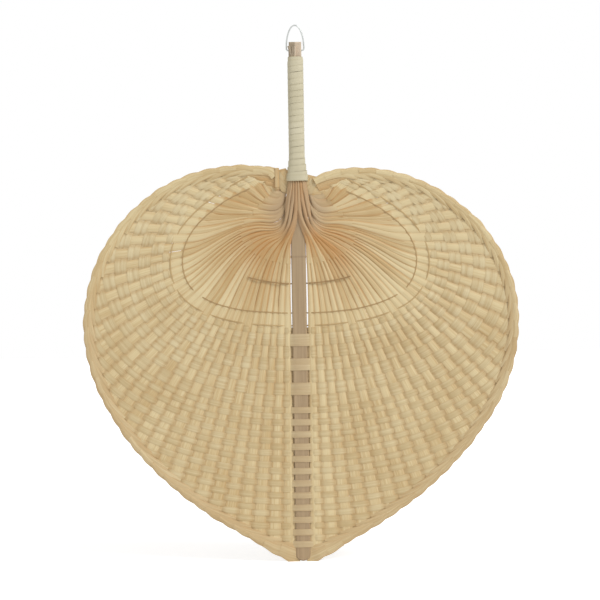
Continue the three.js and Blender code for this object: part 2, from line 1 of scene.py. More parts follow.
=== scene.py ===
"""Looks of a plaited bamboo wall fan: splints, woven rows, border, wrapped handle and wire loop.

Metres, +Z up, front facing -Y, origin where a nail bears on the inside of the hanging loop.
Each splint splits into two tines. A side is -1 on the left and 1 on the right. A constant with two
numbers holds the start and the end of a range.
"""

import bisect
import math
import random
from collections import namedtuple

import bpy
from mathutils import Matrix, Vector, noise


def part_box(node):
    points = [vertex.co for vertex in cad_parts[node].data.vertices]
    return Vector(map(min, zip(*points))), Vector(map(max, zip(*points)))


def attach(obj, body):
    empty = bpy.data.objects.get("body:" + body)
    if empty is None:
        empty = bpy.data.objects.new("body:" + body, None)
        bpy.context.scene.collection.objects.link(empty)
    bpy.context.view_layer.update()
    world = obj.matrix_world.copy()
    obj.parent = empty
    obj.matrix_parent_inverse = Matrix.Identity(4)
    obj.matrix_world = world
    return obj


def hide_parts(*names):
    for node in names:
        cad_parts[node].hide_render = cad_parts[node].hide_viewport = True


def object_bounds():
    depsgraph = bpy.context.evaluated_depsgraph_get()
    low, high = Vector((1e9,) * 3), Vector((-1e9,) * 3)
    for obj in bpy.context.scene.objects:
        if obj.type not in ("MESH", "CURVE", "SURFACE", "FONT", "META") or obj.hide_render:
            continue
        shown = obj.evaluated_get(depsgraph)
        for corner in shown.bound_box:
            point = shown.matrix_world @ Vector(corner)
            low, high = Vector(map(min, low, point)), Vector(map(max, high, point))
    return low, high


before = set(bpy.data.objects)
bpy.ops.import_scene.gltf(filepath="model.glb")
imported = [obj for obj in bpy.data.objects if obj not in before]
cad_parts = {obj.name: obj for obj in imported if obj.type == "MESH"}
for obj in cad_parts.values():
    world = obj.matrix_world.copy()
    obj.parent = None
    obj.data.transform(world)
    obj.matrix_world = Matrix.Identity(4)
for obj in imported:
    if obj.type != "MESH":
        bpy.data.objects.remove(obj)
cad_low, cad_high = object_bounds()

MM = 0.001
SEED = 41
noise.seed_set(SEED)  # otherwise the offsets of noise_vector follow the clock

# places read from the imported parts
wrap_low, wrap_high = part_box("handle_wrap")
_, stick_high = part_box("centre_stick")
loop_low, loop_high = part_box("hanging_loop")
NECK = wrap_low.z
WRAP_TOP = wrap_high.z
STICK_FACE = stick_high.y

# blade outline, measured from the neck
BLADE_LENGTH = 315.9 * MM
BLADE_HALF_WIDTH = 179.2 * MM
WIDEST_BELOW_NECK = 117.2 * MM
LOBE_RISE = 11.3 * MM
LOBE_OUT = 45.7 * MM
NOTCH_OUT = 9 * MM
NOTCH_RISE = 0.5 * MM
TIP_HALF_ANGLE = math.radians(19)
TIP_REACH = 86 * MM
SIDE_REACH = 93 * MM
CURVE_STEPS = 240

# how a hand-plaited blade departs from a true one
LEFT_LIFT = 2.4 * MM
RIGHT_DROP = 1.2 * MM
LIFT_HEIGHTS = NECK - 95 * MM, NECK - 5 * MM
LIFT_OUT = 7 * MM, 26 * MM
LEFT_END_OUT = 5 * MM
LEFT_END_STARTS = 8 * MM, 9 * MM
LEFT_END_STOPS = 9 * MM, 24 * MM
LEFT_END_HEIGHTS = NECK - 8 * MM, NECK - 1 * MM
RIGHT_WIDER = 0.016
RIGHT_WIDENS = 20 * MM, 60 * MM
WANDER = 0.55 * MM
WANDER_SIZE = 38 * MM
WANDER_OUT = 8 * MM, 30 * MM
CORNER_HEIGHT = {-1: 10.3 * MM, 1: 3.5 * MM}
CORNER_DEPTH = 20 * MM
CORNER_OUT = 6 * MM, 9 * MM
CORNER_WIDENING = 1.6
CORNER_FILLING = 0.35

# the open eye and the small curve past which the splints lie side by side
EYE = dict(low=109.7 * MM, half_width=96.8 * MM, side=66 * MM, top_out=20 * MM, top=1 * MM)
SPREAD = dict(low=53 * MM, half_width=27 * MM, side=36 * MM, top_out=10 * MM, top=3 * MM)
OVAL_BELLY = 0.65
OVAL_FLANK = 0.73
OVAL_SHOULDER = 0.42
OVAL_BROW = 0.55
OVAL_BROW_DROP = 0.19

# splints
SPLINTS = 18
TINES = 2 * SPLINTS
SPLINT_THICKNESS = 0.65 * MM
SPLINT_CROWN = 0.6 * MM
SPLINT_TILT = 0.05
SPLINT_LIFT = 0.3 * MM, 0.45 * MM
MIDRIB_HALF = 6.1 * MM
BESIDE_STICK = 1.2 * MM
SPREAD_CENTRE = 22 * MM
FAN_CENTRE = 31 * MM
ARCH = {-1: math.radians(34), 1: math.radians(18)}
ARCH_OVER = math.radians(115)
HIGHEST_HEADING = 0.15
INNER_STEPS = 40
SINKS = 0.05, 0.4
FLAT_AT_EYE = 0.85, 1
SPLIT_AT = 0.2
SPLIT_OVERLAP = 0.08
WHOLE_STEPS = 8
HALF_STEPS = 15
TINE_STEP = 0.15 * MM
NECK_COVER = 1.1
EYE_COVER = 1.06
COVER_RANGE = 0.94, 1.1

# the bundle of butts under the wrap, and how the splints leave it
BUNDLE_COLUMNS = 3
BUNDLE_LAYERS = 3
BUNDLE_HALF = 5 * MM
BUNDLE_FLARE = 1.45
BUNDLE_TOP = WRAP_TOP - 14 * MM
BUNDLE_STEPS = 9
LAYERS_START = 1.85 * MM
LAYER_STEP = 0.72 * MM
LAYER_NARROWER = 0.12
COLUMN_SHALLOWER = 0.1
FLARE_LENGTH = 26 * MM
FLARE_OUT = 48 * MM
FRONT_LEAVES = 30 * MM, 6 * MM
BACK_LEAVES = 11 * MM, 0.5 * MM
FRONT_DIVE = -1
BACK_DIVE = -0.3
NECK_BEND = 0.45
NECK_STEPS = 10
BESIDE_DEPTH = 0.3
DEPTH_OUT = 15 * MM
BUTT_ABOVE_WRAP = {-1: 9 * MM, 1: -4 * MM}
BUTT_COVER = 1.6
BUTT_LEAN = 2.2 * MM
BUTT_STATIONS = (0, 1), (3 * MM, 0.6), (8 * MM, 0)
LEANING_BUTT = 9

# shades of the splints: warm is orange or brown, grey is dusty (on the lower border, painted
# shade), pale is lighter (on the lobes, painted light); the edge shade is painted shade along the
# strips' edges
EYE_WARMTH = 0.18
EYE_WARM_REACH = 60 * MM, 110 * MM
EYE_SHADE = 2.4
# painted shade along the strips' edges, stronger in the eye
EYE_EDGE_SHADE = 2.4
EYE_PALE = 3.0
EYE_PALE_REACH = 55 * MM, 105 * MM
# painted light: the lobes and the upper blade paler, as if nearer the light
LOBE_PAINTED_LIGHT = 3.2
LOBE_HEIGHTS = NECK - 150 * MM, NECK - 35 * MM
ORANGE_REACH = 30 * MM, 84 * MM
ORANGE_LOW = 42 * MM, 66 * MM
ORANGE_BESIDE = 12 * MM, 36 * MM
ORANGE_RANGE = 0.55, 1.1
ORANGE_HIGH = 0.25
ORANGE_HIGH_SPLINTS = 9, 14
STICK_PALENESS = 0.7
DUST_RANGE = 0.65, 1.0
DUST_REACH = 10 * MM, 30 * MM
DUST_HEIGHTS = NECK - 4 * MM, NECK
PLAIN_HEIGHTS = NECK, NECK + 10 * MM

# tines in the weave
TINE_COVER = 0.76
TINE_TONES = 0.5
# painted light: the tines paler, against the shade they lie in among the wefts
TINE_PAINTED_LIGHT = 1.2
TINE_WARMTH = 0.05
TINE_WAVE = 0.18 * MM
TINE_BACK = 0.25 * MM
TINE_STATION = 1.7 * MM
TINE_SHORT = 3.5 * MM
TINE_SINKS = 6 * MM
TINE_WIDENS = 7 * MM, 1 * MM
TINE_END_BACK = 0.2 * MM
TINE_POINT = (1.2 * MM, 0.6), (2.3 * MM, 0.3)
WEAVE_STARTS = 11 * MM
WEAVE_OPENS = 22 * MM

# border: the ends of the tines, folded over and laid along the rim
BORDER_WIDTH = 7 * MM
BORDER_COVER = 0.92
BORDER_BAND = 4.6 * MM
BORDER_END = 3.6 * MM
BORDER_RUN = 2.9
BORDER_STEPS = 16
BORDER_OUT = 1.6 * MM
BORDER_UNEVEN = 0.16 * MM
BORDER_IN = 7 * MM
BORDER_BEND = 1.6
BORDER_SLANTS = 15 * MM, 70 * MM
BORDER_FRONT = 1.8 * MM
BORDER_UNDER = 0.8 * MM
BORDER_SINKS = 0.8, 1
BORDER_BACK = 0.3 * MM
BORDER_TIP_FLAT = MIDRIB_HALF, 2.5 * MIDRIB_HALF
BORDER_WARMTH = 0.04
# painted shade along the border strips' edges
BORDER_EDGE_SHADE = 1.1
BORDER_DARK = 1.2
# painted shade: the border greyer below the lobes, so darker towards the bottom
BORDER_PAINTED_SHADE = 0.3
FOLD_FROM = 0.5
FOLD_SLANT = 2.2 * MM
FOLD_SHARE = 0.3
TIP_OUT = 3.2 * MM
TIP_ENDS = 20 * MM, 60 * MM
RIM_END = 0.3

# the corners beside the handle
CORNER_TINES = 32
CORNER_STRIPS = 6
CORNER_STEPS = 14
CORNER_STRAND = 1.45 * MM
CORNER_STRIP_STEP = 2 * MM
CORNER_FIRST = 0.6
CORNER_RUN = 6.2
CORNER_RUN_STEP = 0.95
CORNER_INSET = 0.8, 1
CORNER_END_INSET = 0.45
CORNER_TURNS = 0.5, 1
CORNER_FRONT = 0.7 * MM
CORNER_SINKS = 0.7, 1
CORNER_LAYER = 0.12 * MM
CORNER_TONE_STEP = 0.4
CORNER_WARMTH = 0.1
CORNER_WARMTH_STEP = 0.08
BACKING_STEPS = 7
BACKING_OUT = 6.5 * MM, 27 * MM
BACKING_DROP = 5 * MM, 3 * MM
BACKING_WIDTH = 16 * MM
BACKING_BEHIND = 0.45 * MM
BACKING_WARMTH = 0.2
STUB_STEPS = 5
STUB_OUT = 16.8 * MM
STUB_HEIGHTS = NECK - 5 * MM, NECK + 11 * MM
STUB_WIDTH = 3.6 * MM
STUB_PALER = 0.5
STUB_WARMTH = 0.3

# wefts
WEFT_THICKNESS = 0.25 * MM
WEFT_CROWN = 0.12 * MM
# painted shade: the wefts a little darker, to even out their light with the tines
WEFT_PAINTED_SHADE = -0.6
ROWS = 17
PAIRED_ROWS = 6
ROW_PITCH = 5.07 * MM
ROW_COVER = 1.06
FIRST_ROW_OUT = 22.4 * MM
LAST_ROW_FROM_TIP = 21.6 * MM
ROW_PAST_BORDER = 5.6 * MM
ROW_END_INSIDE = 0.6 * MM
ROW_NARROWEST = 0.3
ROW_ON_STICK = 0.8 * MIDRIB_HALF
ROW_GREY = 0.6
ROW_GREY_OUT = MIDRIB_HALF, MIDRIB_HALF + 1 * MM
ROW_DRIFT = 0.2 * MM
ROW_DRIFT_WAVES = 20
ROW_UNEVEN = 0.08
ROW_UNEVEN_WAVES = 35
ROW_PHASES = 50
SQUEEZE_BELOW = 45 * MM
SQUEEZE_LEAST = 0.3
NECK_TUCK = 14 * MM
TUCK_WIDTH = 0.6
TUCK_HEIGHT = 0.4
TUCK_OUTER = 11 * MM
TUCK_INNER = 4 * MM
TUCK_DROP = 2 * MM
# painted shade on the rows' ends tucked in at the neck
TUCK_PAINTED_SHADES = 0.3, 0.6
WEAVE_HEIGHT = 0.75 * MM
WEAVE_STEPS = 8
# painted shade in the valleys where a weft dips between two tines, and how wide it spreads
VALLEY_PAINTED_SHADE = 0.5
VALLEY_WIDTH = 0.7

# thin strands in and round the eye
STRAND_HALF = 0.52 * MM
STRAND_HEIGHT = 0.75 * MM
STRAND_CROWN = 0.15 * MM
STRAND_WANDER = 0.3 * MM
STRAND_WAVES = 60
STRAND_NOISE_SLICE = 3
RING_OUT = 10.6 * MM
FIRST_RING = dict(dips=range(15, TINES, 18), warm=0.5, dark=0.0)
SECOND_RING = dict(dips=range(0, TINES, 6), warm=0.1, dark=-1.5)
SHORT_STRAND_AT = 0.57
SHORT_STRAND_SPLINTS = 5
SHORT_STRAND_FRONT = 1.9 * MM
SHORT_STRAND = dict(dips=(), warm=1.0, dark=1.5)

# handle wrap and loop
WRAP_TURNS = 19
WRAP_STEPS = 28
WRAP_THICKNESS = 0.6 * MM
WRAP_CROWN = 0.12 * MM
WRAP_ROUNDNESS = 2.4
WRAP_GAP = 0.12 * MM
WRAP_FLARE = 2.2 * MM
WRAP_FLARE_LENGTH = 22 * MM
WRAP_SWELL = 0.6 * MM
WRAP_DEEPER = 0.5 * MM
WRAP_WOBBLE = 0.25 * MM
WRAP_WOBBLE_WAVES = 0.11
WRAP_NOISE_SLICE = 7
WRAP_TUCK = 0.6 * WRAP_THICKNESS
WRAP_TUCK_STEPS = 4
WIRE_RADIUS = 0.6 * MM
WIRE_SIDES = 16
WIRE_END_GAP = 0.3 * MM
LOOP_CORNER = 1.9 * MM
LOOP_CORNER_STEPS = 8
LOOP_ARCH_STEPS = 24
ROUND_HANDLE = 0.5523
STICK_NODE = NECK - 63 * MM
STICK_NODE_HALF = 1.2 * MM
STICK_NODE_SHADE = 0.35

# fibre and finish
FIBRE_ALONG = 45.0
FIBRE_ACROSS = 2400.0
FIBRE_PER_TONE = 9.0
STICK_FIBRE = 1500, 1500, 30
FIBRE_ROUGHNESS = 0.48
FIBRE_ROUGHER = 0.25
PATCH_STRENGTH = 0.8
NOISE_MIDDLE = 0.5
CLOUDS_PER_METRE = 28.0
CLOUD_CONTRAST = 1.2
SHADE_CONTRAST = 0.11
SHADE_MIDDLE = 0.52
MOST_GREY = 0.85
# painted shade towards a strip's edges, from this share of its half-width outwards
EDGE_SHADE_FROM = 0.5
BUMP = 0.3
STRIP_BUMP_HEIGHT = 0.05 * MM
STICK_BUMP_HEIGHT = 0.08 * MM
BUTT_BARE = 0.92
STICK_BARE = 0.8
BARE_HEIGHTS = WRAP_TOP - 1 * MM, WRAP_TOP + 1 * MM
BARE_PALE_RIGHT = -0.6 * MM, 0.2 * MM
WIRE_ROUGHNESS = 0.25
WIRE_ROUGHER = 0.25
SHARP_EDGE = math.radians(50)
WELD = 0.002 * MM

# camera and stage
PHOTO_SIZE = 600
PHOTO_MM_PER_PIXEL = 0.8314
PHOTO_CENTRE_X = 299.2
PHOTO_TOP_Y = 26
CAMERA_DISTANCE = 1.6
CAMERA_ROLL = math.radians(0.95)
CAMERA_SENSOR = 36
CAMERA_SEES = 50
FLOOR_HALF = 6.0
FLOOR_BELOW = 0.5 * MM
FLOOR_GLOW = 0.57
WORLD_LIGHT = 0.5
SUNS = (  # name, degrees to the right, degrees up, strength, degrees across
    ("key from the right", 48, 40, 1.9, 25),
    ("fill from the left", -50, 20, 0.25, 60),
)


def flat(x, z):
    return Vector((x, z))


def below_neck(x, drop):
    return flat(x, NECK - drop)


def mix(a, b, share):
    return a + (b - a) * share


def clamp(value, low=0.0, high=1.0):
    return max(low, min(high, value))


def smoothstep(value, low, high):
    share = clamp((value - low) / (high - low))
    return share * share * (3 - 2 * share)


def turned(vector, angle):
    c, s = math.cos(angle), math.sin(angle)
    return flat(vector.x * c - vector.y * s, vector.x * s + vector.y * c)


def crossed(step, ray):
    """How far a step goes across a ray."""
    return abs(step.x * ray.y - step.y * ray.x)


class Path:
    """A line through samples, walked by distance from its start or by another measure."""

    def __init__(self, points, reached=None):
        self.points = points
        self.reached = reached or [0.0]
        if reached is None:
            for before, after in zip(points, points[1:]):
                self.reached.append(self.reached[-1] + (after - before).length)
        self.length = self.reached[-1]

    def at(self, distance):
        wanted = clamp(distance, 0.0, self.length)
        after = clamp(bisect.bisect_left(self.reached, wanted), 1, len(self.points) - 1)
        span = self.reached[after] - self.reached[after - 1]
        share = (wanted - self.reached[after - 1]) / span
        return self.points[after - 1].lerp(self.points[after], share)

    def at_share(self, share):
        return self.at(share * self.length)

    def heading(self, distance, step=1 * MM):
        return (self.at(distance + step) - self.at(distance - step)).normalized()


def bezier(a, b, c, d, steps=CURVE_STEPS):
    points = []
    for step in range(steps + 1):
        t = step / steps
        s = 1 - t
        points.append(a * s ** 3 + b * 3 * s * s * t + c * 3 * s * t * t + d * t ** 3)
    return points


def rim_path():
    """The right half of the rim, from the tip up round the lobe to the notch beside the handle."""
    tip = below_neck(0, BLADE_LENGTH)
    widest = below_neck(BLADE_HALF_WIDTH, WIDEST_BELOW_NECK)
    from_tip = flat(math.cos(TIP_HALF_ANGLE), math.sin(TIP_HALF_ANGLE)) * TIP_REACH
    points = bezier(tip, tip + from_tip, widest - flat(0, SIDE_REACH), widest)
    for step in range(1, CURVE_STEPS + 1):
        angle = math.pi / 2 * step / CURVE_STEPS
        out = LOBE_OUT + (BLADE_HALF_WIDTH - LOBE_OUT) * math.cos(angle)
        points.append(flat(out, widest.y + (WIDEST_BELOW_NECK + LOBE_RISE) * math.sin(angle)))
    lobe, notch = points[-1], below_neck(NOTCH_OUT, -NOTCH_RISE)
    corner = flat(mix(LOBE_OUT, NOTCH_OUT, 1 / 2), lobe.y)
    points += bezier(lobe, lobe.lerp(corner, 2 / 3), notch.lerp(corner, 2 / 3), notch)[1:]
    return Path(points)


def oval_path(low, half_width, side, top_out, top):
    """The right half of an oval that is open at the neck, from below the stick to its upper end."""
    belly = below_neck(half_width * OVAL_BELLY, low)
    flank = below_neck(half_width, mix(side, low, OVAL_FLANK))
    widest = below_neck(half_width, side)
    shoulder = below_neck(half_width, mix(side, top, OVAL_SHOULDER))
    brow = below_neck(mix(top_out, half_width, OVAL_BROW), mix(top, side, OVAL_BROW_DROP))
    lower = bezier(below_neck(0, low), belly, flank, widest)
    return Path(lower + bezier(widest, shoulder, brow, below_neck(top_out, top))[1:])


rim = rim_path()
eye = oval_path(**EYE)
spread = oval_path(**SPREAD)
neck_centre = below_neck(MIDRIB_HALF, SPREAD_CENTRE)
fan_centre = below_neck(MIDRIB_HALF, FAN_CENTRE)


def across_rays(path, centre):
    """The same path, walked by the distance across the rays from a centre."""
    reached = [0.0]
    for before, after in zip(path.points, path.points[1:]):
        reached.append(reached[-1] + crossed(after - before, (after - centre).normalized()))
    return Path(path.points, reached)


def ray_angle(point):
    return math.atan2(point.x - fan_centre.x, fan_centre.y - point.y)


class Places:
    """Even places for the tines along a path."""

    def __init__(self, path):
        self.path = path
        self.start = MIDRIB_HALF + BESIDE_STICK
        self.pitch = (path.length - self.start) / TINES

    def distance(self, tine):
        return self.start + (tine - 1 / 2) * self.pitch

    def point(self, tine):
        return self.path.at(self.distance(tine))


rim_places = Places(rim)
eye_places = Places(across_rays(eye, neck_centre))
spread_by_angle = Path(spread.points, [ray_angle(point) for point in spread.points])


def inside_rim(distance, inset):
    heading = rim.heading(distance)
    return rim.at(distance) + flat(-heading.y, heading.x) * inset


class Tine:
    """Half of a splint on the right side, from the spread curve through the eye to the border."""

    def __init__(self, number):
        self.number = number
        self.at_eye = eye_places.point(number)
        self.start = spread_by_angle.at(ray_angle(self.at_eye))
        border = inside_rim(rim_places.distance(number), BORDER_WIDTH)
        self.outward = (border - self.at_eye).normalized()
        self.length = (border - self.at_eye).length
        self.leaving = {}
        self.inner = {}
        reach = (self.at_eye - self.start).length / 3
        for side, arch in ARCH.items():
            arch *= math.sin(math.pi * clamp(ray_angle(self.at_eye) / ARCH_OVER))
            leaving = turned((self.start - fan_centre).normalized(), arch)
            leaving = flat(leaving.x, min(leaving.y, HIGHEST_HEADING)).normalized()
            handle_a = self.start + leaving * reach
            handle_b = self.at_eye - self.outward * reach
            self.leaving[side] = leaving
            self.inner[side] = Path(
                bezier(self.start, handle_a, handle_b, self.at_eye, INNER_STEPS))

    def past_eye(self, distance):
        return self.at_eye + self.outward * distance


# one more than the blade has, as the highest one's neighbour
tines = {number: Tine(number) for number in range(1, TINES + 2)}


def tine_room(tine, distance):
    """The room across a tine at a distance past the eye."""
    step = tines[tine.number + 1].past_eye(distance) - tine.past_eye(distance)
    return crossed(step, tine.outward)


def squeeze(number):
    """How far the rows close up where the tines are short, beside the neck."""
    return clamp(tines[min(number, TINES)].length / SQUEEZE_BELOW, SQUEEZE_LEAST, 1)


def rim_top(out):
    """The rim's height between the top of the lobe and the notch, at a place sideways."""
    share = clamp((out - NOTCH_OUT) / (LOBE_OUT - NOTCH_OUT))
    return NECK + mix(NOTCH_RISE, LOBE_RISE, 1 - (1 - share) ** 2)


def corner_short(x):
    """How far the rim lies below the corner's height."""
    return max(0.0, NECK + CORNER_HEIGHT[-1 if x < 0 else 1] - rim_top(abs(x)))


def corner_lift(x, z):
    """The lobes end squarely beside the handle, the left one higher than the right one."""
    top = rim_top(abs(x))
    grown = smoothstep(z, top - CORNER_DEPTH, top) * smoothstep(abs(x), *CORNER_OUT)
    return corner_short(x) * grown


def corner_stretch(x):
    """How much wider strips are where the corner is drawn up."""
    filled = CORNER_FILLING * (1 - smoothstep(abs(x), NOTCH_OUT, LOBE_OUT))
    return 1 + CORNER_WIDENING * corner_short(x) / CORNER_DEPTH + filled


def settle(x, z):
    """A hand-plaited blade isn't true: the left lobe sits higher than the right, lines wander."""
    grown = smoothstep(z, *LIFT_HEIGHTS) * smoothstep(abs(x), *LIFT_OUT)
    lift = (LEFT_LIFT if x < 0 else -RIGHT_DROP) * grown + corner_lift(x, z)
    if x < 0:
        beside = smoothstep(-x, *LEFT_END_STARTS) - smoothstep(-x, *LEFT_END_STOPS)
        x -= LEFT_END_OUT * beside * smoothstep(z, *LEFT_END_HEIGHTS)
    else:
        x += RIGHT_WIDER * x * smoothstep(x, *RIGHT_WIDENS)
    wander = noise.noise_vector(Vector((x, 0, z)) / WANDER_SIZE) * WANDER
    wander *= smoothstep(abs(x), *WANDER_OUT)
    return x + wander.x, z + lift + wander.z


def settled(point, side):
    """Where a point of the true right half comes to lie on a side."""
    return settle(point.x * side, point.y)


Station = namedtuple("Station", "place half_width warm grey shade crease")


class Strip:
    """One flat strip: stations along its middle line, with a tone and a tilt of its own."""

    def __init__(self, tone, tilt=0.0):
        self.tone = tone
        self.tilt = tilt
        self.stations = []
        self.facings = None

    def add(self, x, y, z, half_width, warm=0.0, grey=0.0, shade=1.0, pale=0.0, crease=1.0):
        """A station. Where the shades are strong, in the eye, so is the painted shade along the
        edges.
        """
        place = Vector((x, y, z))
        crease = EYE_EDGE_SHADE if shade > 1 else crease
        # pale lightens: on the lobes and the tines it is painted light, on the wefts, where it is
        # below 0, painted shade
        tone = shade * self.tone - pale
        self.stations.append(Station(place, half_width, warm, grey, tone, crease))

    def facing(self, index):
        """The way the strip's face looks, square to its line and turned by its tilt."""
        if self.facings is not None:
            return self.facings[index]
        before = self.stations[max(index - 1, 0)].place
        after = self.stations[min(index + 1, len(self.stations) - 1)].place
        along = (after - before).normalized()
        across = along.cross(Vector((0, -1, 0))).normalized()
        square = across.cross(along).normalized()
        return square * math.cos(self.tilt) + across * math.sin(self.tilt)


def both_sides(right):
    """The stations of a strip across the stick from left to right, each with its side."""
    return [(-1, station) for station in reversed(right[1:])] + [(1, station) for station in right]


def bundle_place(splint):
    """Where a splint's butt lies under the wrap: sideways place, depth and width."""
    face = -1 if splint <= SPLINTS // 2 else 1
    column, layer = divmod((splint - 1) % (SPLINTS // 2), BUNDLE_LAYERS)
    step = BUNDLE_HALF * (1 - LAYER_NARROWER * layer) / BUNDLE_COLUMNS
    depth = LAYERS_START + layer * LAYER_STEP + SPLINT_THICKNESS / 2
    return (column + 1 / 2) * step, face * depth * (1 - COLUMN_SHALLOWER * column), step


def bundle_flare(z):
    """How much wider than at the handle's end the bundle is at a height."""
    open_out = 1 + max(0.0, NECK - z) / FLARE_OUT
    return mix(BUNDLE_FLARE, 1, smoothstep(z, NECK, NECK + FLARE_LENGTH)) * open_out


def layer_share(x):
    """How much of its layer's depth a splint keeps: all over the stick, little beside it."""
    return mix(1, BESIDE_DEPTH, smoothstep(abs(x), MIDRIB_HALF, DEPTH_OUT))


def lobe_share(z):
    """How much a place belongs to the lobes, where painted light makes the blade paler."""
    return smoothstep(z, *LOBE_HEIGHTS)


def near_neck(x, z, reach):
    """1 within the first distance of the neck's middle, fading to 0 at the second."""
    return 1 - smoothstep((flat(abs(x), z) - neck_centre).length, *reach)


def orange_share(x, z):
    """How orange a splint is: most round the neck, and less along the stick below it."""
    low = smoothstep(NECK - z, *ORANGE_LOW)
    beside = 1 - smoothstep(abs(x), *ORANGE_BESIDE)
    return near_neck(x, z, ORANGE_REACH) * (1 - STICK_PALENESS * low * beside)


class Splint:
    """A splint of one side, from its butt under the wrap to two tines bent over along the rim."""

    def __init__(self, number, side, draw):
        self.number, self.side = number, side
        self.lower, self.upper = tines[2 * number - 1], tines[2 * number]
        self.root_x, self.root_y, self.root_width = bundle_place(number)
        self.tone = draw.gauss(0, 1)
        self.tilt = draw.gauss(0, SPLINT_TILT)
        self.lift = (-1) ** number * draw.uniform(*SPLINT_LIFT)
        self.cover = EYE_COVER * draw.uniform(*COVER_RANGE)
        high = smoothstep(number, *ORANGE_HIGH_SPLINTS)
        self.orange = draw.uniform(*ORANGE_RANGE) * mix(1, ORANGE_HIGH, high)
        self.dusty = draw.uniform(*DUST_RANGE)
        self.strips = [self.whole()]
        for tine, other, back in ((self.lower, self.upper, TINE_STEP), (self.upper, self.lower, 0)):
            half = Strip(self.tone + draw.gauss(0, TINE_TONES))
            self.through_eye(half, tine, other, back)
            self.through_weave(half, tine)
            self.strips += [half, border_strip(tine, half.tone, side, draw)]
        if number == SPLINTS:
            self.strips += corner_strips(self.tone, side)
            if side < 0:
                self.strips.append(stub_strip(self.tone))

    def add(self, strip, point, y, width):
        x, z = settled(point, self.side)
        warm = max(EYE_WARMTH, self.orange * orange_share(x, z))
        warm *= 1 - smoothstep(z, *PLAIN_HEIGHTS)
        grey = self.dusty * max(near_neck(x, z, DUST_REACH), smoothstep(z, *DUST_HEIGHTS))
        strip.add(x, y, z, width / 2, warm, grey, EYE_SHADE)

    def depth(self, x, share):
        """How far back the splint lies at a share of its way through the eye."""
        left = 1 - smoothstep(share, *SINKS)
        return mix(self.lift, self.root_y * layer_share(x), left)

    def whole(self):
        """The splint from its butt through the neck to a little past its split."""
        strip = Strip(self.tone, self.tilt)
        leans = self.side < 0 and self.number == LEANING_BUTT
        butt = WRAP_TOP + BUTT_ABOVE_WRAP[self.side]
        for drop, share in BUTT_STATIONS:
            x = self.root_x + (BUTT_LEAN * share if leans else 0)
            self.add(strip, flat(x, butt - drop), self.root_y, BUTT_COVER * self.root_width)
        front = self.root_y < 0
        rank = (self.number - 1) % (SPLINTS // 2) / (SPLINTS / 2 - 1)
        drop = mix(*(FRONT_LEAVES if front else BACK_LEAVES), rank)
        leave = below_neck(self.root_x * bundle_flare(NECK - drop), drop)
        for step in range(BUNDLE_STEPS):
            z = mix(BUNDLE_TOP, leave.y, step / BUNDLE_STEPS)
            flare = bundle_flare(z)
            self.add(strip, flat(self.root_x * flare, z), self.root_y, self.root_width * flare)
        self.through_neck(strip, leave, flat(0, FRONT_DIVE if front else BACK_DIVE))
        low_path, high_path = self.lower.inner[self.side], self.upper.inner[self.side]
        for step in range(WHOLE_STEPS + 1):
            share = (SPLIT_AT + SPLIT_OVERLAP) * step / WHOLE_STEPS
            low, high = low_path.at_share(share), high_path.at_share(share)
            width = 2 * (high - low).length * mix(NECK_COVER, self.cover, share)
            middle = low.lerp(high, 1 / 2)
            self.add(strip, middle, self.depth(middle.x, share), width)
        return strip

    def through_neck(self, strip, leave, dive):
        """The bend from the bundle to the spread curve."""
        lower, upper = self.lower, self.upper
        arrive = lower.start.lerp(upper.start, 1 / 2)
        heading = (lower.leaving[self.side] + upper.leaving[self.side]).normalized()
        reach = (arrive - leave).length * NECK_BEND
        start = ((arrive - leave).normalized() + dive).normalized()
        bend = bezier(leave, leave + start * reach, arrive - heading * reach, arrive, NECK_STEPS)
        widths = (self.root_width * bundle_flare(leave.y),
                  2 * (upper.start - lower.start).length * NECK_COVER)
        for step, point in enumerate(bend[:-1]):
            y = self.root_y * layer_share(point.x)
            self.add(strip, point, y, mix(*widths, step / NECK_STEPS))

    def through_eye(self, strip, tine, other, back):
        """A tine from the split to the edge of the eye."""
        for step in range(HALF_STEPS + 1):
            share = mix(SPLIT_AT, 1, step / HALF_STEPS)
            here = tine.inner[self.side].at_share(share)
            room = (here - other.inner[self.side].at_share(share)).length * self.cover
            y = (self.depth(here.x, share) + back) * (1 - smoothstep(share, *FLAT_AT_EYE))
            x, z = settled(here, self.side)
            warm = EYE_WARMTH * near_neck(x, z, EYE_WARM_REACH)
            warm = max(warm, self.orange * orange_share(x, z))
            pale = EYE_PALE * (1 - near_neck(x, z, EYE_PALE_REACH))
            strip.add(x, y, z, room / 2, warm, shade=EYE_SHADE, pale=pale)

    def through_weave(self, strip, tine):
        """A tine from the eye to its pointed end at the rim."""
        def add(distance, y, cover):
            point = tine.past_eye(distance)
            x, z = settled(point, self.side)
            # paler by painted light, on the tines and more on the lobes
            strip.add(x, y, z, cover * tine_room(tine, distance) / 2, TINE_WARMTH,
                      pale=TINE_PAINTED_LIGHT + LOBE_PAINTED_LIGHT * lobe_share(z))

        end = tine.length + BORDER_WIDTH - TINE_SHORT
        steps = round(end / TINE_STATION)
        close = squeeze(tine.number)
        for step in range(1, steps + 1):
            distance = end * step / steps
            opened = smoothstep(distance, WEAVE_STARTS * close, WEAVE_OPENS * close)
            cover = mix(self.cover, TINE_COVER, opened)
            cover *= 1 + smoothstep(tine.number, CORNER_TINES, TINES)
            at_border = smoothstep(end - distance, *TINE_WIDENS)
            sink = smoothstep(distance, end - TINE_SINKS, end)
            y = mix(tine_wave(tine.number, distance) + TINE_BACK, TINE_END_BACK, sink)
            add(distance, y, mix(cover, BORDER_COVER, at_border))
        for past, share in TINE_POINT:
            add(end + past, TINE_END_BACK, share * BORDER_COVER)


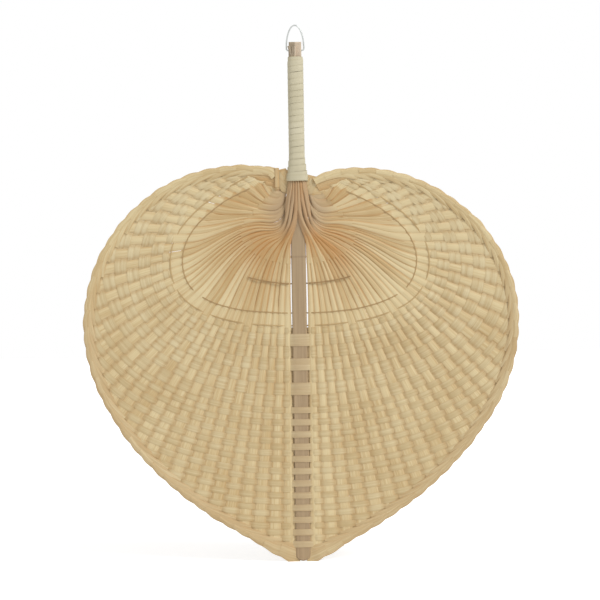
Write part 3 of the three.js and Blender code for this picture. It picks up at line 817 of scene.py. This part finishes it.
def corner_strips(tone, side):
    """The start of the border beside the handle: split ends of the highest splint along the rim."""
    strips = []
    for order in range(CORNER_STRIPS):
        strip = Strip(tone + CORNER_TONE_STEP * order)
        inset = CORNER_STRAND + (order + CORNER_FIRST) * CORNER_STRIP_STEP
        run = CORNER_RUN - CORNER_RUN_STEP * order
        for step in range(CORNER_STEPS + 1):
            share = step / CORNER_STEPS
            along = rim.length - mix(RIM_END, run, share) * rim_places.pitch
            turn = mix(1, CORNER_END_INSET, smoothstep(share, *CORNER_TURNS))
            point = inside_rim(along, inset * mix(*CORNER_INSET, share) * turn)
            x, z = settled(point, side)
            y = CORNER_LAYER * order - mix(CORNER_FRONT, 0, smoothstep(share, *CORNER_SINKS))
            strip.add(x, y, z, CORNER_STRAND * corner_stretch(x),
                      CORNER_WARMTH + CORNER_WARMTH_STEP * order)
        strips.append(strip)
    backing = Strip(tone)
    for step in range(BACKING_STEPS + 1):
        share = step / BACKING_STEPS
        x, z = settle(mix(*BACKING_OUT, share) * side, NECK - mix(*BACKING_DROP, share))
        backing.add(x, BACKING_BEHIND, z, BACKING_WIDTH / 2, BACKING_WARMTH)
    return strips + [backing]


def stub_strip(tone):
    """The end of the highest left splint, left standing at the end of the lobe by the handle."""
    strip = Strip(tone - STUB_PALER)
    for step in range(STUB_STEPS + 1):
        z = mix(*STUB_HEIGHTS, step / STUB_STEPS)
        strip.add(-STUB_OUT, -BORDER_FRONT - SPLINT_THICKNESS, z, STUB_WIDTH / 2, STUB_WARMTH)
    return strip


def border_strip(tine, tone, side, draw):
    """The end of a tine, folded over at the rim and laid along it under the fold of the next."""
    strip = Strip(tone)
    pitch = rim_places.pitch
    folds = rim_places.distance(tine.number) + FOLD_FROM * pitch
    start = min(folds, rim.length - RIM_END * pitch)
    last = max(start - BORDER_RUN * pitch, MIDRIB_HALF / 2)
    length = (start - last) / (BORDER_RUN * pitch)
    out = BORDER_OUT + draw.gauss(0, BORDER_UNEVEN) + TIP_OUT * (1 - smoothstep(start, *TIP_ENDS))
    for step in range(BORDER_STEPS + 1):
        share = step / BORDER_STEPS * length
        along = mix(start, last, step / BORDER_STEPS)
        slant = BORDER_IN * share ** BORDER_BEND * smoothstep(start, *BORDER_SLANTS)
        outer = mix(FOLD_SLANT, 0, smoothstep(share, 0, FOLD_SHARE)) + slant - out
        stretch = corner_stretch(rim.at(along).x * side)
        inner = mix(BORDER_BAND, BORDER_END, share) * stretch + slant
        point = inside_rim(along, (inner + outer) / 2)
        x, z = settled(point, side)
        y = -mix(BORDER_FRONT, BORDER_UNDER, share)
        y = mix(y, BORDER_BACK, smoothstep(share, *BORDER_SINKS))
        y *= smoothstep(along, *BORDER_TIP_FLAT)
        # painted light on the lobes and painted shade, greyer, below them
        lobe = lobe_share(z)
        strip.add(x, y, z, (inner - outer) / 2, BORDER_WARMTH, BORDER_PAINTED_SHADE * (1 - lobe),
                  pale=LOBE_PAINTED_LIGHT * lobe - BORDER_DARK, crease=BORDER_EDGE_SHADE)
    return strip


def row_lines():
    """Each woven strip as its CAD row, its distance past the eye and its side of the stick."""
    stick = (eye.at(0) - rim.at(0)).length
    step = (stick - FIRST_ROW_OUT - LAST_ROW_FROM_TIP) / (ROWS - 1)
    lines = []
    for row in range(1, ROWS + 1):
        centre = FIRST_ROW_OUT + (row - 1) * step
        sign = -1 if row % 2 == 1 else 1
        first, second = (sign, sign) if row <= PAIRED_ROWS else (-1, 1)
        # quarters of a step from the row's centre, each with its strip's side of the stick
        quarters = [(-1, first), (1, second)]
        if row == 1:
            quarters.insert(0, (-3, -sign))
        if row == ROWS:
            quarters += [(3, -1), (5, 1)]
        lines += [(row, centre + step * quarter / 4, face) for quarter, face in quarters]
    return lines


ROW_LINES = row_lines()
ROW_DISTANCES = [distance for _, distance, _ in ROW_LINES]


def tine_wave(number, distance):
    """How far a tine bows to the front or the back to make room for the rows that it crosses."""
    at = distance / squeeze(number)
    after = bisect.bisect(ROW_DISTANCES, at)
    if after in (0, len(ROW_LINES)):
        return 0.0
    share = smoothstep(at, ROW_DISTANCES[after - 1], ROW_DISTANCES[after])
    face = mix(ROW_LINES[after - 1][2], ROW_LINES[after][2], share)
    return -face * (-1) ** number * TINE_WAVE


def row_stations(distance, sign, half_width):
    """The right half of a woven strip: point, depth, share of its width and painted valley shade.
    """
    level = sign * (STICK_FACE + WEFT_THICKNESS)
    z = eye.at(0).y - distance
    right = [(flat(0, z), level, 1, 0), (flat(ROW_ON_STICK, z), level, 1, 0)]
    reached = 0
    for number in range(1, TINES + 1):
        tine, following = tines[number], tines[number + 1]
        close, close_next = squeeze(number), squeeze(number + 1)
        past = distance * close - tine.length
        past_next = distance * close_next - following.length
        if past > ROW_PAST_BORDER:
            break
        reached = number
        here, beyond = tine.past_eye(distance * close), following.past_eye(distance * close_next)
        face = sign * (-1) ** number
        for step in range(WEAVE_STEPS):
            share = step / WEAVE_STEPS
            past_here = mix(past, past_next, share)
            if past_here > ROW_PAST_BORDER:
                break
            room = (BORDER_WIDTH - ROW_END_INSIDE - past_here) / half_width
            wave = math.cos(math.pi * share)
            # painted shade where the weft dips between two tines
            valley = VALLEY_PAINTED_SHADE * (1 - smoothstep(abs(wave), 0, VALLEY_WIDTH))
            right.append((here.lerp(beyond, share), face * WEAVE_HEIGHT * wave,
                          close * clamp(room, ROW_NARROWEST, 1), valley * close))
    if reached == TINES:
        height = NECK - mix(NECK_TUCK, 0, clamp(distance / SQUEEZE_BELOW))
        y = face * TUCK_HEIGHT * WEAVE_HEIGHT
        # the tucked ends take painted shade too
        right.append((flat(TUCK_OUTER, height), -y, TUCK_WIDTH, TUCK_PAINTED_SHADES[0]))
        right.append((flat(TUCK_INNER, height - TUCK_DROP), y, TUCK_WIDTH, TUCK_PAINTED_SHADES[1]))
    return right


def woven_row(distance, sign, draw):
    """A strip across the blade at a distance past the eye, over and under the tines by turns."""
    half_width = ROW_COVER * ROW_PITCH / 2
    strip = Strip(draw.gauss(0, 1))
    phase = draw.uniform(0, ROW_PHASES)

    def uneven(x, z, waves, shift):
        return noise.noise(Vector((x * waves + shift, phase, z * waves)))

    for side, (point, y, share, valley) in both_sides(row_stations(distance, sign, half_width)):
        x, z = settled(point, side)
        width = half_width * share * (1 + ROW_UNEVEN * uneven(x, z, ROW_UNEVEN_WAVES, 0))
        if z > NECK - CORNER_DEPTH and abs(x) > MIDRIB_HALF:
            width *= corner_stretch(x)
        drift = ROW_DRIFT * uneven(x, z, ROW_DRIFT_WAVES, phase)
        grey = ROW_GREY * (1 - smoothstep(abs(x), *ROW_GREY_OUT))
        # painted shade on the wefts, painted light on the lobes; the valley goes in as painted
        # shade
        pale = WEFT_PAINTED_SHADE + LOBE_PAINTED_LIGHT * lobe_share(z)
        strip.add(x, y, z + drift, width, valley, grey, pale=pale)
    return strip


def row_strips(row, draw):
    """The narrow strips that one CAD row stands for."""
    lines = [line for line in ROW_LINES if line[0] == row]
    return [woven_row(distance, sign, draw) for _, distance, sign in lines]


def strand_strip(stick_z, points, front, draw, dips, warm, dark):
    """A thin strand that runs behind the stick and in front of the splints, apart from its dips."""
    strip = Strip(draw.gauss(0, 1))
    behind_stick = STICK_FACE + STRAND_HEIGHT / 2
    right = [(flat(0, stick_z), behind_stick), (flat(MIDRIB_HALF, stick_z), behind_stick)]
    for number, point in enumerate(points):
        right.append((point, front if number in dips else -front))
    for side, (point, y) in both_sides(right):
        x, z = settled(point, side)
        slice_point = Vector((x * STRAND_WAVES, STRAND_NOISE_SLICE, z * STRAND_WAVES))
        wander = STRAND_WANDER * noise.noise(slice_point)
        strip.add(x, y, z + wander, STRAND_HALF, warm, pale=-dark)
    return strip


def short_strand(draw):
    points = [tines[number].inner[1].at_share(SHORT_STRAND_AT)
              for number in range(1, 2 * SHORT_STRAND_SPLINTS + 1)]
    return strand_strip(points[0].y, points, SHORT_STRAND_FRONT, draw, **SHORT_STRAND)


def ring(distance, last_splint, draw, **looks):
    points = [tines[number].past_eye(distance) for number in range(1, 2 * last_splint + 1)]
    return strand_strip(eye.at(0).y - distance, points, STRAND_HEIGHT, draw, **looks)


def wrap_strip(draw):
    """The cane strip wound round the handle in one helix on a rounded-square section."""
    half_x = wrap_high.x - WRAP_THICKNESS
    half_y = wrap_high.y - WRAP_THICKNESS + WRAP_DEEPER
    pitch = (WRAP_TOP - NECK) / (WRAP_TURNS + 1)
    half_width = (pitch - WRAP_GAP) / 2
    strip = Strip(draw.gauss(0, 1))
    strip.facings = []
    steps = WRAP_TURNS * WRAP_STEPS

    def rounded(value):
        return math.copysign(abs(value) ** (2 / WRAP_ROUNDNESS), value)

    for step in range(-WRAP_STEPS, steps + WRAP_STEPS + 1):
        angle = 2 * math.pi * step / WRAP_STEPS
        across, back = rounded(math.sin(angle)), rounded(math.cos(angle))
        z = mix(WRAP_TOP - half_width, NECK + half_width, clamp(step / steps))
        slice_point = Vector((step * WRAP_WOBBLE_WAVES, WRAP_NOISE_SLICE, 0))
        wobble = WRAP_WOBBLE * noise.noise(slice_point)
        swell = WRAP_SWELL + WRAP_FLARE * (1 - smoothstep(z, NECK, NECK + WRAP_FLARE_LENGTH))
        first, last = clamp(-step / WRAP_TUCK_STEPS), clamp((step - steps) / WRAP_TUCK_STEPS)
        under = WRAP_TUCK * (first - last)
        x, y = (half_x + swell - under) * across, (half_y - under) * back
        strip.add(x, y, z + wobble, half_width)
        outward = Vector((math.sin(angle) / half_x, math.cos(angle) / half_y, 0))
        strip.facings.append(outward.normalized())
    return strip


def loop_points():
    """The wire's middle line: through the handle's hole, up both sides and over in an arch."""
    top, low = loop_high.z - WIRE_RADIUS, loop_low.z + WIRE_RADIUS
    half = loop_high.x - WIRE_RADIUS
    spring = low + LOOP_CORNER
    right = [flat(WIRE_END_GAP, low), flat(half - LOOP_CORNER, low)]
    right += bezier(flat(half - LOOP_CORNER, low), flat(half - LOOP_CORNER / 3, low),
                    flat(half, spring - LOOP_CORNER * 2 / 3), flat(half, spring),
                    LOOP_CORNER_STEPS)[1:]
    right += bezier(flat(half, spring), flat(half, mix(spring, top, ROUND_HANDLE)),
                    flat(half * ROUND_HANDLE, top), flat(0, top), LOOP_ARCH_STEPS)[1:]
    left = [flat(-point.x, point.y) for point in reversed(right[:-1])]
    return [Vector((point.x, 0, point.y)) for point in right + left]


scene = bpy.context.scene


def new_object(name, data):
    made = bpy.data.objects.new(name, data)
    scene.collection.objects.link(made)
    return made


class Tree:
    """A node tree with short ways to add nodes and links."""

    def __init__(self, tree):
        self.tree = tree

    def put(self, socket, value):
        if isinstance(value, bpy.types.NodeSocket):
            self.tree.links.new(value, socket)
        else:
            socket.default_value = value

    def node(self, kind, inputs=None, **settings):
        made = self.tree.nodes.new(kind)
        for name, value in settings.items():
            setattr(made, name, value)
        for name, value in (inputs or {}).items():
            self.put(made.inputs[name], value)
        return made

    def out(self, kind, inputs=None, output=0, **settings):
        return self.node(kind, inputs, **settings).outputs[output]

    def math(self, operation, a, b=0.0, clamped=False):
        return self.out("ShaderNodeMath", {0: a, 1: b}, operation=operation, use_clamp=clamped)

    def times(self, a, b):
        return self.math("MULTIPLY", a, b)

    def plus(self, a, b, clamped=False):
        return self.math("ADD", a, b, clamped)

    def minus(self, a, b, clamped=False):
        return self.math("SUBTRACT", a, b, clamped)

    def geometry(self, kind, inputs=None, output=0, **settings):
        return self.out("GeometryNode" + kind, inputs, output, **settings)

    def blend(self, share, a, b):
        return self.out("ShaderNodeMix", {0: share, 6: a, 7: b}, 2, data_type="RGBA")

    def ramp(self, value, low, high):
        inputs = {"Value": value, "From Min": low, "From Max": high}
        return self.out("ShaderNodeMapRange", inputs)

    def seen(self):
        """1 for rays from the camera, straight or by glossy or clear surfaces, and 0 for light."""
        path = self.node("ShaderNodeLightPath").outputs
        seen = self.plus(path["Is Camera Ray"], path["Is Glossy Ray"], clamped=True)
        return self.plus(seen, path["Is Transmission Ray"], clamped=True)


def flat_sweep(make, given, curve):
    """A crowned flat strip along each curve."""
    def named(name, kind="FLOAT"):
        return make.geometry("InputNamedAttribute", {"Name": name}, "Attribute", data_type=kind)

    def scaled(vector, length):
        return make.out("ShaderNodeVectorMath", {0: vector, "Scale": length}, operation="SCALE")

    facing = named("facing", "FLOAT_VECTOR")
    curve = make.geometry("SetCurveNormal", {"Curve": curve, "Normal": facing}, mode="FREE")
    line = make.geometry("CurvePrimitiveLine", {"Start": (0, -1, 0), "End": (0, 1, 0)})
    line = make.geometry("ResampleCurve", {"Curve": line, "Count": given["Points Across"]})
    factor = make.geometry("SplineParameter", output="Factor")
    across = {"Name": "across", "Value": make.minus(make.times(factor, 2.0), 1.0)}
    line = make.geometry("StoreNamedAttribute", {"Geometry": line, **across},
                         data_type="FLOAT", domain="POINT")
    ribbon = make.geometry("CurveToMesh", {
        "Curve": curve, "Profile Curve": line, "Scale": named("half_width")})
    side = named("across")
    fall = make.minus(1.0, make.times(side, side))
    rise = make.minus(make.times(fall, given["Crown"]), make.times(given["Thickness"], 0.5))
    ribbon = make.geometry("SetPosition", {"Geometry": ribbon, "Offset": scaled(facing, rise)})
    front = make.geometry("ExtrudeMesh", {
        "Mesh": ribbon, "Offset": scaled(facing, given["Thickness"]), "Offset Scale": 1.0,
        "Individual": False}, mode="FACES")
    joined = make.node("GeometryNodeJoinGeometry")
    make.put(joined.inputs[0], front)
    make.put(joined.inputs[0], make.geometry("FlipFaces", {"Mesh": ribbon}))
    solid = make.geometry("MergeByDistance", {"Geometry": joined.outputs[0], "Distance": WELD})
    solid = make.geometry("RealizeInstances", {"Geometry": solid})
    angle = make.geometry("InputMeshEdgeAngle")
    soft = make.out("FunctionNodeCompare", {0: angle, 1: SHARP_EDGE}, operation="LESS_THAN")
    for domain, smooth in (("FACE", True), ("EDGE", soft)):
        shading = {"Geometry": solid, "Shade Smooth": smooth}
        solid = make.geometry("SetShadeSmooth", shading, domain=domain)
    return solid


def round_sweep(make, given, curve):
    """A round wire along each curve."""
    size = {"Resolution": given["Sides"], "Radius": given["Radius"]}
    circle = make.geometry("CurvePrimitiveCircle", size)
    solid = make.geometry("CurveToMesh", {
        "Curve": curve, "Profile Curve": circle, "Fill Caps": True})
    solid = make.geometry("RealizeInstances", {"Geometry": solid})
    return make.geometry("SetShadeSmooth", {"Geometry": solid, "Shade Smooth": True})


def sweep_tree(name, sweep, sockets):
    """Geometry nodes that sweep a solid along each path, and the identifiers of its inputs."""
    tree = bpy.data.node_groups.new(name, "GeometryNodeTree")
    tree.is_modifier = True
    new_socket = tree.interface.new_socket
    new_socket("Paths", in_out="INPUT", socket_type="NodeSocketGeometry")
    identifiers = {}
    for socket, kind in sockets + (("Finish", "NodeSocketMaterial"),):
        made = new_socket(socket, in_out="INPUT", socket_type=kind)
        identifiers[socket] = made.identifier
    new_socket("Solid", in_out="OUTPUT", socket_type="NodeSocketGeometry")
    make = Tree(tree)
    given = make.node("NodeGroupInput").outputs
    solid = sweep(make, given, make.geometry("MeshToCurve", {"Mesh": given["Paths"]}))
    finish = {"Geometry": solid, "Material": given["Finish"]}
    make.node("NodeGroupOutput", {"Solid": make.geometry("SetMaterial", finish)})
    return tree, identifiers


def linear(red, green, blue):
    """A colour given in 0 to 255 as the renderer's linear values."""
    def one(value):
        value /= 255
        return value / 12.92 if value <= 0.04045 else ((value + 0.055) / 1.055) ** 2.4
    return one(red), one(green), one(blue), 1.0


BUTT_DARK = linear(162, 147, 125)
BUTT_PALE = linear(214, 196, 173)
# the dust colour, also used as painted shade on the lower border
DUST_AND_SHADE = linear(179, 153, 120)


def fibre_group():
    """Bamboo fibre: streaks along a strip, with each strip's own shade and its painted light and
    shade, as colour and height.
    """
    tree = bpy.data.node_groups.new("bamboo fibre", "ShaderNodeTree")
    new_socket = tree.interface.new_socket
    for name in ("Pale", "Deep", "Brown"):
        new_socket(name, in_out="INPUT", socket_type="NodeSocketColor")
    for name, value in (("Shade", 0.5), ("Greyness", 0.0), ("Brownness", 0.0), ("Streaks", 0.5)):
        socket = new_socket(name, in_out="INPUT", socket_type="NodeSocketFloat")
        socket.default_value = value
    new_socket("Place", in_out="INPUT", socket_type="NodeSocketVector")
    new_socket("Color", in_out="OUTPUT", socket_type="NodeSocketColor")
    new_socket("Roughness", in_out="OUTPUT", socket_type="NodeSocketFloat")
    new_socket("Height", in_out="OUTPUT", socket_type="NodeSocketFloat")
    make = Tree(tree)
    given = make.node("NodeGroupInput").outputs

    def streaked(share):
        return make.plus(share, make.times(streak, share), clamped=True)

    fine = make.out("ShaderNodeTexNoise", {
        "Vector": given["Place"], "Scale": 1.0, "Detail": 3.0, "Roughness": 0.6})
    broad = make.out("ShaderNodeTexNoise", {"Vector": given["Place"], "Scale": 0.23, "Detail": 1.0})
    streak = make.times(make.minus(fine, NOISE_MIDDLE), given["Streaks"])
    strength = make.times(given["Streaks"], PATCH_STRENGTH)
    patch = make.times(make.minus(broad, NOISE_MIDDLE), strength)
    shade = make.plus(given["Shade"], make.plus(streak, patch), clamped=True)
    colour = make.blend(shade, given["Pale"], given["Deep"])
    colour = make.blend(streaked(given["Brownness"]), colour, given["Brown"])
    colour = make.blend(streaked(given["Greyness"]), colour, DUST_AND_SHADE)
    rough = make.plus(FIBRE_ROUGHNESS, make.times(fine, FIBRE_ROUGHER))
    make.node("NodeGroupOutput", {"Color": colour, "Roughness": rough, "Height": fine})
    return tree


def new_material(name):
    """A material, its node tree and the inputs of its shader."""
    material = bpy.data.materials.new(name)
    material.use_nodes = True
    shader = material.node_tree.nodes["Principled BSDF"]
    return material, Tree(material.node_tree), shader.inputs


def fibre_finish(make, shader, fibre, colours, bump_height, bare=0.0, **inputs):
    """Puts bamboo fibre on a shader, with cut bamboo on the bare handle end, darker on the left."""
    pale, deep, brown = (linear(*colour) for colour in colours)
    group = make.node("ShaderNodeGroup", node_tree=fibre)
    for name, value in {"Pale": pale, "Deep": deep, "Brown": brown, **inputs}.items():
        make.put(group.inputs[name], value)
    colour, rough, height = group.outputs
    if bare:
        where = make.out("ShaderNodeTexCoord", output="Object")
        x, _, z = make.node("ShaderNodeSeparateXYZ", {0: where}).outputs
        share = make.times(make.ramp(z, *BARE_HEIGHTS), bare)
        cut = make.blend(make.ramp(x, *BARE_PALE_RIGHT), BUTT_DARK, BUTT_PALE)
        colour = make.blend(share, colour, cut)
    make.put(shader["Base Color"], colour)
    make.put(shader["Roughness"], rough)
    make.put(shader["Normal"], make.out("ShaderNodeBump", {
        "Height": height, "Strength": BUMP, "Distance": bump_height}, "Normal"))


def strip_material(name, fibre, colours, streaks=1.3, edges=0.25, bare=0.0):
    """Bamboo for a swept strip, with the fibre along its length and painted shade towards its
    edges.
    """
    material, make, shader = new_material(name)

    def attribute(attribute_name):
        return make.out("ShaderNodeAttribute", output="Fac", attribute_name=attribute_name)

    sideways = make.times(attribute("across"), attribute("half_width"))
    place = make.out("ShaderNodeCombineXYZ", {
        0: make.times(attribute("along"), FIBRE_ALONG),
        1: make.times(sideways, FIBRE_ACROSS),
        2: make.times(attribute("tone"), FIBRE_PER_TONE),
    })
    where = make.out("ShaderNodeTexCoord", output="Object")
    cloud = make.out("ShaderNodeTexNoise", {
        "Vector": where, "Scale": CLOUDS_PER_METRE, "Detail": 2.0})
    cloud = make.times(make.minus(cloud, NOISE_MIDDLE), CLOUD_CONTRAST)
    shade = make.times(attribute("shade"), SHADE_CONTRAST)
    shade = make.plus(shade, make.plus(cloud, SHADE_MIDDLE))
    # painted shade towards the strip's edges, where it meets its neighbours
    edge = make.ramp(make.math("ABSOLUTE", attribute("across")), EDGE_SHADE_FROM, 1.0)
    edge = make.times(make.times(edge, attribute("crease")), edges)
    fibre_finish(make, shader, fibre, colours, STRIP_BUMP_HEIGHT, bare, Streaks=streaks,
                 Place=place, Shade=shade, Brownness=make.plus(attribute("warm"), edge),
                 Greyness=make.times(attribute("grey"), MOST_GREY))
    return material


def stick_material(fibre):
    """The brown-grey centre stick, with the fibre along Z and a faint line at its node."""
    material, make, shader = new_material("split bamboo stick")
    where = make.out("ShaderNodeTexCoord", output="Object")
    place = make.out("ShaderNodeMapping", {"Vector": where, "Scale": STICK_FIBRE})
    height = make.out("ShaderNodeSeparateXYZ", {0: where}, 2)
    away = make.math("ABSOLUTE", make.minus(height, STICK_NODE))
    line = make.minus(1.0, make.math("DIVIDE", away, STICK_NODE_HALF), clamped=True)
    colours = (181, 157, 123), (150, 125, 94), (120, 95, 70)
    fibre_finish(make, shader, fibre, colours, STICK_BUMP_HEIGHT, STICK_BARE, Streaks=1.1,
                 Place=place, Brownness=make.times(line, STICK_NODE_SHADE))
    return material


def wire_material():
    """Plain grey wire, a little dulled in patches."""
    material, make, shader = new_material("grey wire")
    where = make.out("ShaderNodeTexCoord", output="Object")
    dull = make.out("ShaderNodeTexNoise", {"Vector": where, "Scale": 700.0, "Detail": 2.0})
    make.put(shader["Base Color"], make.blend(dull, linear(205, 208, 205), linear(165, 168, 166)))
    make.put(shader["Roughness"], make.plus(WIRE_ROUGHNESS, make.times(dull, WIRE_ROUGHER)))
    make.put(shader["Metallic"], 1.0)
    return material


def build_materials():
    """The finishes by slot; each bamboo's colours are pale, deep and brown, and the brown also
    serves as painted shade.
    """
    fibre = fibre_group()
    return {
        "splint": strip_material("raw bamboo splint", fibre, (
            (219, 201, 157), (195, 168, 119), (181, 131, 72)),
            streaks=1.7, edges=0.24, bare=BUTT_BARE),
        # the weft's brown shows only as painted shade, in its valleys and tucks and along its edges
        "weft": strip_material("raw bamboo weft", fibre, (
            (215, 198, 157), (191, 167, 121), (180, 145, 95))),
        "strand": strip_material("brown strand", fibre, (
            (200, 172, 124), (178, 148, 100), (156, 124, 80))),
        "cane": strip_material("pale cane", fibre, (
            (214, 206, 179), (189, 179, 147), (170, 160, 125)), streaks=0.6),
        "stick": stick_material(fibre),
        "wire": wire_material(),
    }


def swept_piece(name, swept_by, inputs, points, edges, attributes):
    """A mesh swept along paths by a node tree, as a plain mesh at the origin."""
    mesh = bpy.data.meshes.new(name)
    mesh.from_pydata(points, edges, [])
    for attribute_name, values in attributes.items():
        is_vector = attribute_name == "facing"
        kind, key = ("FLOAT_VECTOR", "vector") if is_vector else ("FLOAT", "value")
        mesh.attributes.new(attribute_name, kind, "POINT").data.foreach_set(key, values)
    piece = new_object(name, mesh)
    modifier = piece.modifiers.new("sweep", "NODES")
    modifier.node_group, identifiers = swept_by
    for socket, value in inputs.items():
        modifier[identifiers[socket]] = value
    graph = bpy.context.evaluated_depsgraph_get()
    swept = bpy.data.meshes.new_from_object(piece.evaluated_get(graph), depsgraph=graph)
    piece.modifiers.clear()
    piece.data = swept
    bpy.data.meshes.remove(mesh)
    swept.name = name
    return piece


def strip_piece(node, strips, slot, thickness, crown, across=5):
    """The strips of one CAD node, swept, riding on the fan in the node's place."""
    points, edges = [], []
    of_station = "half_width", "shade", "warm", "grey", "crease"
    values = {name: [] for name in of_station + ("facing", "tone", "along")}
    for strip in strips:
        walked = 0.0
        for index, station in enumerate(strip.stations):
            if index:
                edges.append((len(points) - 1, len(points)))
                walked += (station.place - points[-1]).length
            points.append(station.place)
            for name in of_station:
                values[name].append(getattr(station, name))
            values["facing"].extend(strip.facing(index))
            values["tone"].append(strip.tone)
            values["along"].append(walked)
    piece = swept_piece(node + "_bamboo", strip_sweep, {
        "Thickness": thickness, "Crown": crown, "Points Across": across, "Finish": finishes[slot],
    }, points, edges, values)
    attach(piece, "fan")
    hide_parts(node)


def build_blade():
    draw = random.Random(SEED)
    for side_name, side in (("left", -1), ("right", 1)):
        for number in range(1, SPLINTS + 1):
            strips = Splint(number, side, draw).strips
            strip_piece(f"splint_{side_name}_{number:02d}", strips, "splint",
                        SPLINT_THICKNESS, SPLINT_CROWN)
    for row in range(1, ROWS + 1):
        strips = row_strips(row, draw)
        strip_piece(f"weft_row_{row:02d}", strips, "weft", WEFT_THICKNESS, WEFT_CROWN)
    strands = {
        "inner_strand_short": short_strand(draw),
        "inner_ring_first": ring(0, SPLINTS, draw, **FIRST_RING),
        "inner_ring_second": ring(RING_OUT, SPLINTS - 1, draw, **SECOND_RING),
    }
    for node, strip in strands.items():
        strip_piece(node, [strip], "strand", WEFT_THICKNESS, STRAND_CROWN, across=3)


def build_handle():
    wrap = wrap_strip(random.Random(SEED + 1))
    strip_piece("handle_wrap", [wrap], "cane", WRAP_THICKNESS, WRAP_CROWN)
    wire_sweep = sweep_tree("round wire along a path", round_sweep, (
        ("Radius", "NodeSocketFloat"), ("Sides", "NodeSocketInt")))
    points = loop_points()
    edges = [(index, index + 1) for index in range(len(points) - 1)]
    wire = swept_piece("hanging_loop_wire", wire_sweep, {
        "Radius": WIRE_RADIUS, "Sides": WIRE_SIDES, "Finish": finishes["wire"],
    }, points, edges, {})
    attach(wire, "hanging_loop")
    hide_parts("hanging_loop")
    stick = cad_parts["centre_stick"]
    stick.data.materials.clear()
    stick.data.materials.append(finishes["stick"])


def build_floor():
    """A plain pale floor under the tip that keeps the soft shadow."""
    mesh = bpy.data.meshes.new("floor")
    half, z = FLOOR_HALF, cad_low.z - FLOOR_BELOW
    corners = [(-half, -half, z), (half, -half, z), (half, half, z), (-half, half, z)]
    mesh.from_pydata(corners, [], [(0, 1, 2, 3)])
    floor = new_object("floor", mesh)
    material, make, shader = new_material("pale floor")
    make.put(shader["Base Color"], (0.8, 0.8, 0.8, 1))
    make.put(shader["Roughness"], 0.9)
    make.put(shader["Emission Color"], (1, 1, 1, 1))
    make.put(shader["Emission Strength"], make.times(make.seen(), FLOOR_GLOW))
    mesh.materials.append(material)


def build_light():
    world = scene.world = bpy.data.worlds.new("studio")
    world.use_nodes = True
    make = Tree(world.node_tree)
    background = world.node_tree.nodes["Background"].inputs
    make.put(background["Color"], (1, 1, 1, 1))
    strength = make.out("ShaderNodeMix", {0: make.seen(), 2: WORLD_LIGHT, 3: 1.0})
    make.put(background["Strength"], strength)
    for name, turn, tilt, strength, softness in SUNS:
        light = bpy.data.lights.new(name, "SUN")
        light.energy = strength
        light.angle = math.radians(softness)
        a, e = math.radians(turn), math.radians(tilt)
        towards = Vector((math.sin(a) * math.cos(e), -math.cos(a) * math.cos(e), math.sin(e)))
        lamp = new_object(name, light)
        lamp.rotation_euler = towards.to_track_quat("Z", "Y").to_euler()


def build_camera():
    """Straight on, framed as the photograph is."""
    data = bpy.data.cameras.new("camera")
    camera = scene.camera = new_object("camera", data)
    pixel = PHOTO_MM_PER_PIXEL * MM
    centre = PHOTO_SIZE / 2
    data.sensor_width = CAMERA_SENSOR
    data.lens = CAMERA_SENSOR * CAMERA_DISTANCE / (PHOTO_SIZE * pixel)
    data.clip_end = CAMERA_SEES
    camera.location = ((centre - PHOTO_CENTRE_X) * pixel, -CAMERA_DISTANCE,
                       (PHOTO_TOP_Y - centre) * pixel)
    camera.rotation_euler = (math.pi / 2, CAMERA_ROLL, 0)


strip_sweep = sweep_tree("flat strip along a path", flat_sweep, (
    ("Thickness", "NodeSocketFloat"), ("Crown", "NodeSocketFloat"),
    ("Points Across", "NodeSocketInt")))
finishes = build_materials()
build_blade()
build_handle()
build_floor()
build_light()
build_camera()
scene.view_settings.view_transform = "Standard"
